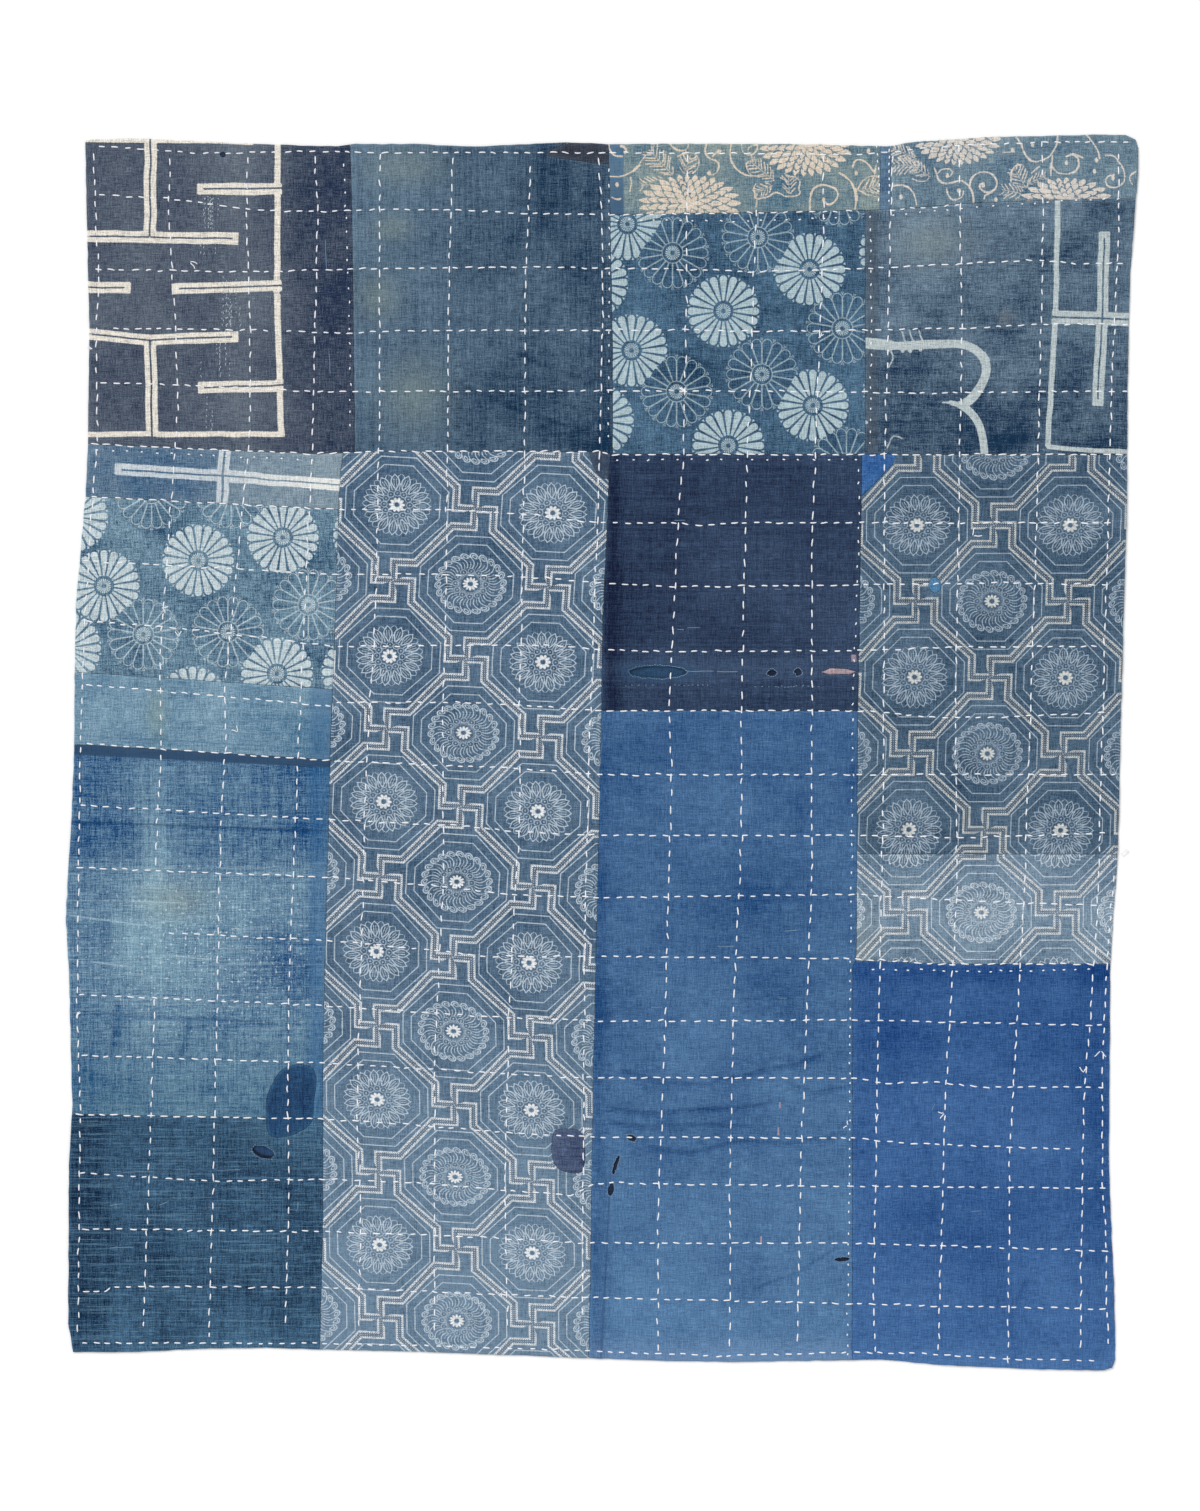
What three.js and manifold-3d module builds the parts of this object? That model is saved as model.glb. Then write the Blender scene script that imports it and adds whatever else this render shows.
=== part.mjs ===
// A boro textile: worn indigo cottons pieced edge to edge on one backing cloth and quilted with long
// running stitches. It lies flat. Millimetres: +X to the right, +Y to the upper band, +Z up, with the
// origin under the middle of the cloth.
import * as THREE from 'three';
import { mergeVertices } from 'three/addons/utils/BufferGeometryUtils.js';
import Module from 'manifold-3d';

const wasm = await Module();
wasm.setup();

// Driving dimensions.
const BACKING_THICKNESS = 1.0;
const FACE_THICKNESS = 1.0; // of the face cloths along the stitch lines, where the thread pulls them flat
const GAP = 0.3; // room between any two pieces
const CROWN = 1.3; // how far the face cloth swells in the middle of a quilted field
const STITCH_LINE_SWELL = 0.35; // how far it swells on a stitch line, between two crossings
const UNEVENNESS = 0.45; // share by which one field's crown differs from the next
const BACKING_SET_BACK = 4; // the backing ends this far inside the edge of the face
const FIELD_MARGIN = 60; // the quilted fields run on this far past the edges before they are cut
const MEND_STEPS = 4; // points between two given points of a mend's rounded outline

const FACE_UNDERSIDE = BACKING_THICKNESS + GAP;
const FACE_LOW = FACE_UNDERSIDE + FACE_THICKNESS;
const CUTTER_HEIGHT = FACE_LOW + 2 * CROWN + 2;

// Outer edges. Upright lines give x at each y, level lines give y at each x.
const LEFT_EDGE = [
  { y: 747, x: -630 },
  { y: 650, x: -628 },
  { y: 513, x: -625 },
  { y: 371, x: -627 },
  { y: 312, x: -630 },
  { y: 265, x: -634 },
  { y: 188, x: -641 },
  { y: 86, x: -643 },
  { y: -4, x: -644 },
  { y: -80, x: -647 },
  { y: -148, x: -651 },
  { y: -203, x: -654 },
  { y: -270, x: -650 },
  { y: -430, x: -646 },
  { y: -509, x: -650 },
  { y: -695, x: -651 },
  { y: -731, x: -645 },
];
const RIGHT_EDGE = [
  { y: 747, x: 651 },
  { y: 737, x: 654 },
  { y: 703, x: 654 },
  { y: 677, x: 651 },
  { y: 622, x: 647 },
  { y: 581, x: 644 },
  { y: 445, x: 641 },
  { y: 291, x: 640 },
  { y: 175, x: 636 },
  { y: 50, x: 633 },
  { y: -93, x: 630 },
  { y: -148, x: 628 },
  { y: -203, x: 623 },
  { y: -257, x: 620 },
  { y: -501, x: 618 },
  { y: -554, x: 620 },
  { y: -664, x: 625 },
  { y: -740, x: 626 },
  { y: -750, x: 622 },
];
const TOP_EDGE = [
  { x: -630, y: 747 },
  { x: -580, y: 749 },
  { x: -525, y: 747 },
  { x: -427, y: 742 },
  { x: -323, y: 739 },
  { x: -300, y: 742 },
  { x: -229, y: 742 },
  { x: -156, y: 739 },
  { x: -42, y: 744 },
  { x: 7, y: 742 },
  { x: 229, y: 742 },
  { x: 347, y: 739 },
  { x: 384, y: 745 },
  { x: 466, y: 750 },
  { x: 597, y: 753.5 },
  { x: 638, y: 753 },
  { x: 651, y: 747 },
];
const BOTTOM_EDGE = [
  { x: -645, y: -731 },
  { x: -567, y: -731 },
  { x: -488, y: -727 },
  { x: -409, y: -726 },
  { x: -343, y: -728 },
  { x: -210, y: -731 },
  { x: -56, y: -737 },
  { x: 76, y: -742 },
  { x: 153, y: -743 },
  { x: 239, y: -742 },
  { x: 339, y: -740 },
  { x: 415, y: -747 },
  { x: 523, y: -752 },
  { x: 612, y: -753.5 },
  { x: 622, y: -750 },
];

// The level seam that joins the upper band of cloths to the lower four columns.
const MAIN_SEAM = [
  { x: -627, y: 376 },
  { x: -490, y: 370 },
  { x: -353, y: 364 },
  { x: -271, y: 367 },
  { x: -2, y: 367 },
  { x: 11, y: 364 },
  { x: 642, y: 363 },
];

// Seams of the upper band.
const UPPER_SEAM_A = [
  { y: 742, x: -307 },
  { y: 663, x: -305 },
  { y: 513, x: -303 },
  { y: 365, x: -301 },
];
const UPPER_SEAM_B = [
  { y: 744, x: 8 },
  { y: 608, x: 11 },
  { y: 500, x: 13 },
  { y: 363, x: 13 },
];
const UPPER_SEAM_C = [
  { y: 665, x: 321 },
  { y: 363, x: 321 },
];
const NARROW_STRIP_LEFT = [
  { y: 741, x: 339 },
  { y: 655, x: 339 },
];
const NARROW_STRIP_RIGHT = [
  { y: 741, x: 352 },
  { y: 655, x: 353 },
];
const TOP_STRIP_SEAM = [
  { x: 8, y: 655 },
  { x: 322, y: 661 },
  { x: 353, y: 662 },
  { x: 439, y: 669 },
  { x: 537, y: 673 },
  { x: 652, y: 675 },
];

// Seams of the lower columns.
const LOWER_SEAM_A = [
  { y: 366, x: -316 },
  { y: 317, x: -320 },
  { y: 163, x: -325 },
  { y: 8, x: -331 },
  { y: -230, x: -337 },
  { y: -365, x: -340 },
  { y: -562, x: -340 },
  { y: -728, x: -344 },
];
const LOWER_SEAM_B = [
  { y: 366, x: 10 },
  { y: 291, x: 7 },
  { y: 163, x: 1 },
  { y: -26, x: -2 },
  { y: -285, x: -8 },
  { y: -404, x: -11 },
  { y: -589, x: -13 },
  { y: -740, x: -16 },
];
const LOWER_SEAM_C = [
  { y: 363, x: 317 },
  { y: 214, x: 315 },
  { y: 59, x: 312 },
  { y: -253, x: 310 },
  { y: -262, x: 306 },
  { y: -741, x: 305 },
];

// Level seams inside the lower columns.
const CROSS_BAR_SEAM = [
  { x: -630, y: 312 },
  { x: -320, y: 296 },
];
const FLOWER_SEAM = [
  { x: -643, y: 98 },
  { x: -328, y: 77 },
];
const PALE_BAND_SEAM = [
  { x: -644, y: 10 },
  { x: -331, y: -9 },
];
const STREAKED_SEAM = [
  { x: -647, y: -441 },
  { x: -340, y: -447 },
];
const DEEP_NAVY_SEAM = [
  { x: -3, y: 51 },
  { x: 313, y: 51 },
];
const LATTICE_SEAM = [
  { x: 309, y: -124 },
  { x: 629, y: -124 },
];
const BRIGHT_BLUE_SEAM = [
  { x: 306, y: -254 },
  { x: 424, y: -258 },
  { x: 621, y: -258 },
];

// The cloths of the face, each between two upright and two level lines, with its dyed colour.
const CLOTHS = [
  {
    name: 'cloth_navy_fret', colour: 0x4a566a,
    left: LEFT_EDGE, right: UPPER_SEAM_A, top: TOP_EDGE, bottom: MAIN_SEAM,
  },
  {
    name: 'cloth_faded_blue', colour: 0x4c6179,
    left: UPPER_SEAM_A, right: UPPER_SEAM_B, top: TOP_EDGE, bottom: MAIN_SEAM,
  },
  {
    name: 'strip_vines_left', colour: 0x6f8590,
    left: UPPER_SEAM_B, right: NARROW_STRIP_LEFT, top: TOP_EDGE, bottom: TOP_STRIP_SEAM,
  },
  {
    name: 'strip_narrow_blue', colour: 0x55708b,
    left: NARROW_STRIP_LEFT, right: NARROW_STRIP_RIGHT, top: TOP_EDGE, bottom: TOP_STRIP_SEAM,
  },
  {
    name: 'strip_vines_right', colour: 0x6d8291,
    left: NARROW_STRIP_RIGHT, right: RIGHT_EDGE, top: TOP_EDGE, bottom: TOP_STRIP_SEAM,
  },
  {
    name: 'cloth_flowers_upper', colour: 0x4f6c87,
    left: UPPER_SEAM_B, right: UPPER_SEAM_C, top: TOP_STRIP_SEAM, bottom: MAIN_SEAM,
  },
  {
    name: 'cloth_blue_fret', colour: 0x55697c,
    left: UPPER_SEAM_C, right: RIGHT_EDGE, top: TOP_STRIP_SEAM, bottom: MAIN_SEAM,
  },
  {
    name: 'cloth_cross_bar', colour: 0x53718c,
    left: LEFT_EDGE, right: LOWER_SEAM_A, top: MAIN_SEAM, bottom: CROSS_BAR_SEAM,
  },
  {
    name: 'cloth_flowers_left', colour: 0x6a859b,
    left: LEFT_EDGE, right: LOWER_SEAM_A, top: CROSS_BAR_SEAM, bottom: FLOWER_SEAM,
  },
  {
    name: 'cloth_pale_band', colour: 0x6e8ea2,
    left: LEFT_EDGE, right: LOWER_SEAM_A, top: FLOWER_SEAM, bottom: PALE_BAND_SEAM,
  },
  {
    name: 'cloth_streaked', colour: 0x5f8199,
    left: LEFT_EDGE, right: LOWER_SEAM_A, top: PALE_BAND_SEAM, bottom: STREAKED_SEAM,
  },
  {
    name: 'cloth_slub_blue', colour: 0x38566f,
    left: LEFT_EDGE, right: LOWER_SEAM_A, top: STREAKED_SEAM, bottom: BOTTOM_EDGE,
  },
  {
    name: 'cloth_lattice_left', colour: 0x60758a,
    left: LOWER_SEAM_A, right: LOWER_SEAM_B, top: MAIN_SEAM, bottom: BOTTOM_EDGE,
  },
  {
    name: 'cloth_deep_navy', colour: 0x2f3f5c,
    left: LOWER_SEAM_B, right: LOWER_SEAM_C, top: MAIN_SEAM, bottom: DEEP_NAVY_SEAM,
  },
  {
    name: 'cloth_mid_blue', colour: 0x446991,
    left: LOWER_SEAM_B, right: LOWER_SEAM_C, top: DEEP_NAVY_SEAM, bottom: BOTTOM_EDGE,
  },
  {
    name: 'cloth_lattice_right', colour: 0x576b80,
    left: LOWER_SEAM_C, right: RIGHT_EDGE, top: MAIN_SEAM, bottom: LATTICE_SEAM,
  },
  {
    name: 'cloth_lattice_low', colour: 0x76899b,
    left: LOWER_SEAM_C, right: RIGHT_EDGE, top: LATTICE_SEAM, bottom: BRIGHT_BLUE_SEAM,
  },
  {
    name: 'cloth_bright_blue', colour: 0x3b608f,
    left: LOWER_SEAM_C, right: RIGHT_EDGE, top: BRIGHT_BLUE_SEAM, bottom: BOTTOM_EDGE,
  },
];

// Mends: pieces that show where the cloth above them is cut back and its edge turned in. The outline is
// rounded through the points, or straight between them, and is cut off at the lines of its region.
const MENDS = [
  {
    name: 'mend_top_navy', colour: 0x3f4654, rounded: false,
    left: UPPER_SEAM_A, right: UPPER_SEAM_B, top: TOP_EDGE, bottom: MAIN_SEAM,
    outline: [
      { x: -71, y: 728 },
      { x: -33, y: 722 },
      { x: -9, y: 718 },
      { x: 20, y: 717 },
      { x: 20, y: 760 },
      { x: -42, y: 760 },
      { x: -42, y: 743 },
      { x: -60, y: 736 },
    ],
  },
  {
    name: 'mend_corner_navy', colour: 0x424c62, rounded: false,
    left: LOWER_SEAM_A, right: LOWER_SEAM_B, top: MAIN_SEAM, bottom: BOTTOM_EDGE,
    outline: [
      { x: -15, y: 380 },
      { x: -15, y: 365 },
      { x: -12, y: 351 },
      { x: -5, y: 339 },
      { x: 2, y: 334 },
      { x: 20, y: 333 },
      { x: 20, y: 380 },
    ],
  },
  {
    name: 'mend_bright_corner', colour: 0x365f94, rounded: false,
    left: LOWER_SEAM_C, right: RIGHT_EDGE, top: MAIN_SEAM, bottom: LATTICE_SEAM,
    outline: [
      { x: 300, y: 380 },
      { x: 300, y: 300 },
      { x: 312, y: 308 },
      { x: 332, y: 327 },
      { x: 345, y: 341 },
      { x: 354, y: 351 },
      { x: 360, y: 364 },
      { x: 360, y: 380 },
    ],
  },
  {
    name: 'mend_small_blue', colour: 0x48759d, rounded: true,
    left: LOWER_SEAM_C, right: RIGHT_EDGE, top: MAIN_SEAM, bottom: LATTICE_SEAM,
    outline: [
      { x: 399, y: 200 },
      { x: 406, y: 194 },
      { x: 413, y: 199 },
      { x: 412, y: 210 },
      { x: 405, y: 214 },
      { x: 399, y: 209 },
    ],
  },
  {
    name: 'mend_navy_square', colour: 0x465773, rounded: true,
    left: LOWER_SEAM_A, right: LOWER_SEAM_B, top: MAIN_SEAM, bottom: BOTTOM_EDGE,
    outline: [
      { x: -58, y: -461 },
      { x: -61, y: -473 },
      { x: -61, y: -489 },
      { x: -56, y: -505 },
      { x: -41, y: -512 },
      { x: -26, y: -512 },
      { x: -21, y: -501 },
      { x: -21, y: -480 },
      { x: -26, y: -462 },
      { x: -43, y: -459 },
    ],
  },
  {
    name: 'mend_arch_blue', colour: 0x305278, rounded: true,
    left: LEFT_EDGE, right: LOWER_SEAM_A, top: PALE_BAND_SEAM, bottom: BOTTOM_EDGE,
    outline: [
      { x: -369, y: -380 },
      { x: -389, y: -386 },
      { x: -402, y: -404 },
      { x: -409, y: -425 },
      { x: -409, y: -455 },
      { x: -404, y: -468 },
      { x: -387, y: -469 },
      { x: -368, y: -462 },
      { x: -354, y: -451 },
      { x: -351, y: -425 },
      { x: -348, y: -396 },
      { x: -354, y: -384 },
    ],
  },
  {
    name: 'mend_rose_sliver', colour: 0x8d7d84, rounded: false,
    left: LOWER_SEAM_B, right: LOWER_SEAM_C, top: MAIN_SEAM, bottom: DEEP_NAVY_SEAM,
    outline: [
      { x: 266, y: 98 },
      { x: 276, y: 95 },
      { x: 302, y: 95 },
      { x: 311, y: 99 },
      { x: 300, y: 102 },
      { x: 278, y: 103 },
    ],
  },
];

// Worn holes and slits through the face, where the backing shows. turn is in degrees from +X.
const HOLES = [
  { x: -462, y: 729, long: 7.5, wide: 6.5, turn: 0 },
  { x: 68, y: 98, long: 70, wide: 14, turn: 0 },
  { x: 207, y: 97, long: 11, wide: 7, turn: 0 },
  { x: 239, y: 98, long: 8.5, wide: 8, turn: 0 },
  { x: -413, y: -487, long: 27, wide: 14, turn: -20 },
  { x: 36, y: -470, long: 11, wide: 7, turn: -25 },
  { x: 17, y: -503, long: 24, wide: 4.5, turn: 72 },
  { x: 11, y: -533, long: 15, wide: 7, turn: 80 },
  { x: 293, y: -618, long: 18, wide: 4.5, turn: 3 },
];
const HOLE_POINTS = 20;

// The quilting: level stitch lines by their height at the left and right edges, and upright ones by
// their place at the top and bottom edges.
const LEVEL_STITCH_LINES = [
  { left: 739, right: 743 },
  { left: 679, right: 669 },
  { left: 589, right: 597 },
  { left: 515, right: 521 },
  { left: 449, right: 440 },
  { left: 374, right: 363 },
  { left: 309, right: 280 },
  { left: 229, right: 208 },
  { left: 155, right: 130 },
  { left: 79, right: 48 },
  { left: 9, right: -30 },
  { left: -66, right: -101 },
  { left: -142, right: -178 },
  { left: -226, right: -257 },
  { left: -296, right: -333 },
  { left: -370, right: -408 },
  { left: -442, right: -483 },
  { left: -514, right: -533 },
  { left: -581, right: -608 },
  { left: -653, right: -682 },
  { left: -719, right: -743 },
];
const UPRIGHT_STITCH_LINES = [
  { top: -619, bottom: -640 },
  { top: -526, bottom: -558 },
  { top: -432, bottom: -480 },
  { top: -351, bottom: -382 },
  { top: -271, bottom: -296 },
  { top: -183, bottom: -204 },
  { top: -90, bottom: -116 },
  { top: -4, bottom: -25 },
  { top: 105, bottom: 66 },
  { top: 190, bottom: 154 },
  { top: 270, bottom: 238 },
  { top: 355, bottom: 331 },
  { top: 438, bottom: 410 },
  { top: 535, bottom: 495 },
  { top: 630, bottom: 583 },
];
const TOP_Y = 747;
const BOTTOM_Y = -745;
const LEFT_X = -645;
const RIGHT_X = 640;

// The value of `rise` on a line of stations at the given value of `run`, straight between two stations.
function readLine(stations, run, rise, value) {
  const ordered = [...stations].sort((a, b) => a[run] - b[run]);
  let next = ordered.findIndex((station) => station[run] > value);
  if (next < 0) next = ordered.length - 1;
  if (next === 0) next = 1;
  const [a, b] = [ordered[next - 1], ordered[next]];
  return a[rise] + ((b[rise] - a[rise]) * (value - a[run])) / (b[run] - a[run]);
}

const xOn = (upright, y) => readLine(upright, 'y', 'x', y);
const yOn = (level, x) => readLine(level, 'x', 'y', x);

// Where an upright line crosses a level one, found by going from one to the other in turn.
function crossing(upright, level) {
  const ROUNDS = 12;
  let x = upright[0].x;
  let y = 0;
  for (let round = 0; round < ROUNDS; round += 1) {
    y = yOn(level, x);
    x = xOn(upright, y);
  }
  return new THREE.Vector2(x, y);
}

// The stations of a line that lie between two corners, in order from the first corner to the second.
function stationsBetween(stations, key, from, to) {
  const [low, high] = [Math.min(from[key], to[key]) + 1, Math.max(from[key], to[key]) - 1];
  const inside = stations.filter((station) => station[key] > low && station[key] < high);
  inside.sort((a, b) => (a[key] - b[key]) * Math.sign(to[key] - from[key]));
  return inside.map(({ x, y }) => new THREE.Vector2(x, y));
}

// The outline of the region between four lines, anticlockwise from its lower left corner.
function regionOutline({ left, right, top, bottom }) {
  const lowerLeft = crossing(left, bottom);
  const lowerRight = crossing(right, bottom);
  const upperRight = crossing(right, top);
  const upperLeft = crossing(left, top);
  return [
    lowerLeft,
    ...stationsBetween(bottom, 'x', lowerLeft, lowerRight),
    lowerRight,
    ...stationsBetween(right, 'y', lowerRight, upperRight),
    upperRight,
    ...stationsBetween(top, 'x', upperRight, upperLeft),
    upperLeft,
    ...stationsBetween(left, 'y', upperLeft, lowerLeft),
  ];
}

// Moves every side of an anticlockwise outline inwards by a distance, or outwards by a negative one.
function inset(outline, distance) {
  return outline.map((point, index) => {
    const before = outline[(index + outline.length - 1) % outline.length];
    const after = outline[(index + 1) % outline.length];
    const arriving = point.clone().sub(before).normalize();
    const leaving = after.clone().sub(point).normalize();
    const inwardIn = new THREE.Vector2(-arriving.y, arriving.x);
    const inwardOut = new THREE.Vector2(-leaving.y, leaving.x);
    const bisector = inwardIn.clone().add(inwardOut).normalize();
    return point.clone().addScaledVector(bisector, distance / bisector.dot(inwardIn));
  });
}

function asManifold(geometry) {
  const bare = geometry.index ? geometry.toNonIndexed() : geometry.clone();
  bare.deleteAttribute('normal');
  bare.deleteAttribute('uv');
  const merged = mergeVertices(bare);
  const mesh = new wasm.Mesh({
    numProp: 3,
    vertProperties: merged.attributes.position.array,
    triVerts: new Uint32Array(merged.index.array),
  });
  return new wasm.Manifold(mesh);
}

function asGeometry(solid) {
  const mesh = solid.getMesh();
  const geometry = new THREE.BufferGeometry();
  geometry.setAttribute('position', new THREE.BufferAttribute(mesh.vertProperties, 3));
  geometry.setIndex(new THREE.BufferAttribute(mesh.triVerts, 1));
  geometry.computeVertexNormals();
  return geometry;
}

// A flat-sided block over an outline, from one height up to another.
function block(outline, from, to) {
  const shape = new THREE.Shape(outline);
  const geometry = new THREE.ExtrudeGeometry(shape, { depth: to - from, bevelEnabled: false });
  geometry.translate(0, 0, from);
  return asManifold(geometry);
}

const cutter = (outline) => block(outline, 0, CUTTER_HEIGHT);

// A number from -1 to 1 that changes from one quilted field to the next, and is the same each time.
function fieldUnevenness(row, column) {
  const spread = Math.sin(row * 12.9 + column * 78.2) * 437.6;
  return 2 * (spread - Math.floor(spread)) - 1;
}

// Each line, then the middle of the field after it, and so on, with one more past either end.
function withMiddles(positions) {
  const all = [positions[0] - FIELD_MARGIN];
  positions.forEach((position, index) => {
    all.push(position);
    const following = positions[index + 1];
    if (following !== undefined) all.push((position + following) / 2);
  });
  all.push(positions[positions.length - 1] + FIELD_MARGIN);
  return all;
}

const mix = (a, b, share) => a + (b - a) * share;
const upwards = (values) => [...values].sort((a, b) => a - b);

// The height of the swell at a place in the net of lines and middles: low where two stitch lines cross.
function swellHeight(row, column, rows, columns) {
  if (row === 0 || column === 0 || row === rows - 1 || column === columns - 1) return 0;
  const rowIsMiddle = row % 2 === 0;
  const columnIsMiddle = column % 2 === 0;
  const uneven = 1 + UNEVENNESS * fieldUnevenness(row, column);
  if (rowIsMiddle && columnIsMiddle) return CROWN * uneven;
  return rowIsMiddle || columnIsMiddle ? STITCH_LINE_SWELL * uneven : 0;
}

// The whole face before it is cut into cloths: flat below, quilted above.
function quiltedSlab() {
  const share = (value, from, to) => (value - from) / (to - from);
  const levelAt = (x) => {
    const heights = LEVEL_STITCH_LINES.map(({ left, right }) => mix(left, right, share(x, LEFT_X, RIGHT_X)));
    return withMiddles(upwards(heights));
  };
  const uprightAt = (y) => {
    const places = UPRIGHT_STITCH_LINES.map(({ top, bottom }) => mix(top, bottom, share(y, TOP_Y, BOTTOM_Y)));
    return withMiddles(upwards(places));
  };
  const rows = levelAt(0).length;
  const columns = uprightAt(0).length;
  const net = new THREE.PlaneGeometry(1, 1, columns - 1, rows - 1).toNonIndexed();
  const place = (columnShare, rowShare) => {
    const column = Math.round(columnShare * (columns - 1));
    const row = Math.round(rowShare * (rows - 1));
    const level = levelAt(uprightAt(0)[column])[row];
    const upright = uprightAt(level)[column];
    return new THREE.Vector3(upright, level, FACE_LOW + swellHeight(row, column, rows, columns));
  };
  const corners = [];
  const { position } = net.attributes;
  for (let index = 0; index < position.count; index += 1) {
    corners.push(place(position.getX(index) + 0.5, position.getY(index) + 0.5));
  }
  const rim = [];
  for (let column = 0; column < columns; column += 1) rim.push(place(column / (columns - 1), 0));
  for (let row = 1; row < rows; row += 1) rim.push(place(1, row / (rows - 1)));
  for (let column = columns - 2; column >= 0; column -= 1) rim.push(place(column / (columns - 1), 1));
  for (let row = rows - 2; row > 0; row -= 1) rim.push(place(0, row / (rows - 1)));
  const foot = (point) => point.clone().setZ(FACE_UNDERSIDE);
  rim.forEach((point, index) => {
    const following = rim[(index + 1) % rim.length];
    corners.push(foot(point), foot(following), following, foot(point), following, point);
  });
  const outline = rim.map(({ x, y }) => new THREE.Vector2(x, y));
  THREE.ShapeUtils.triangulateShape(outline, []).forEach(([a, b, c]) => {
    corners.push(foot(rim[a]), foot(rim[c]), foot(rim[b]));
  });
  return asManifold(new THREE.BufferGeometry().setFromPoints(corners));
}

function mendOutline({ outline, rounded }) {
  const points = outline.map(({ x, y }) => new THREE.Vector3(x, y, 0));
  if (!rounded) return points.map(({ x, y }) => new THREE.Vector2(x, y));
  const curve = new THREE.CatmullRomCurve3(points, true);
  const rim = curve.getPoints(points.length * MEND_STEPS).slice(0, -1);
  return rim.map(({ x, y }) => new THREE.Vector2(x, y));
}

function holeOutline({ x, y, long, wide, turn }) {
  const angle = THREE.MathUtils.degToRad(turn);
  const rim = new THREE.EllipseCurve(x, y, long / 2, wide / 2, 0, 2 * Math.PI, false, angle);
  return rim.getPoints(HOLE_POINTS).slice(0, -1);
}

const group = new THREE.Group();

function addPiece(name, solid, colour) {
  const material = new THREE.MeshStandardMaterial({ color: colour, roughness: 0.95, metalness: 0 });
  const mesh = new THREE.Mesh(asGeometry(solid), material);
  mesh.name = name;
  group.add(mesh);
}

const edges = { left: LEFT_EDGE, right: RIGHT_EDGE, top: TOP_EDGE, bottom: BOTTOM_EDGE };
const backingOutline = inset(regionOutline(edges), BACKING_SET_BACK);
addPiece('backing_cloth', block(backingOutline, 0, BACKING_THICKNESS), 0x27354f);

const slab = quiltedSlab();
const mendOpenings = MENDS.map((mend) => cutter(mendOutline(mend)).intersect(cutter(regionOutline(mend))));
const openings = [...mendOpenings, ...HOLES.map((hole) => cutter(holeOutline(hole)))];

CLOTHS.forEach((cloth) => {
  let solid = slab.intersect(cutter(inset(regionOutline(cloth), GAP / 2)));
  openings.forEach((opening) => {
    solid = solid.subtract(opening);
  });
  addPiece(cloth.name, solid, cloth.colour);
});

MENDS.forEach((mend) => {
  const region = cutter(inset(regionOutline(mend), GAP / 2));
  const solid = slab.intersect(cutter(inset(mendOutline(mend), GAP))).intersect(region);
  addPiece(mend.name, solid, mend.colour);
});

export default group;
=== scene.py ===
"""A boro cloth lying flat, face up: old indigo cottons pieced into one cover, mended, backed, and
quilted together with rows of white sashiko stitches. Plan sizes and heights are in millimetres; X runs
to the right and Y towards the top edge."""

import math

import bpy
import numpy as np
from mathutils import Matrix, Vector
from mathutils.geometry import delaunay_2d_cdt


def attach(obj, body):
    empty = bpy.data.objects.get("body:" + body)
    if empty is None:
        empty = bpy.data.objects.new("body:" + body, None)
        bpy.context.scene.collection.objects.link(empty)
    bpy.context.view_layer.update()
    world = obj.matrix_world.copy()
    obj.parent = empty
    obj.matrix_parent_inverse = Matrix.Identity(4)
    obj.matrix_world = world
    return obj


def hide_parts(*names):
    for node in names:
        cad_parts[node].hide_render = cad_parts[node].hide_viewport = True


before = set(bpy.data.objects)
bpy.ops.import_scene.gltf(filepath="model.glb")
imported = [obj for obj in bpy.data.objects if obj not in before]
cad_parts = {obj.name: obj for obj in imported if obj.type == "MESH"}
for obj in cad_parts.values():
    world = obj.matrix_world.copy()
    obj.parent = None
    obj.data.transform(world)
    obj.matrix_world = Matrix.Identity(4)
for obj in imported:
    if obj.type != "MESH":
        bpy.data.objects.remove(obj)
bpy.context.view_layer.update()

MM = 0.001
FACE_UNDERSIDE = 1.3
FACE_LOW = 2.3
BACKING_TOP = 1.0

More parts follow.
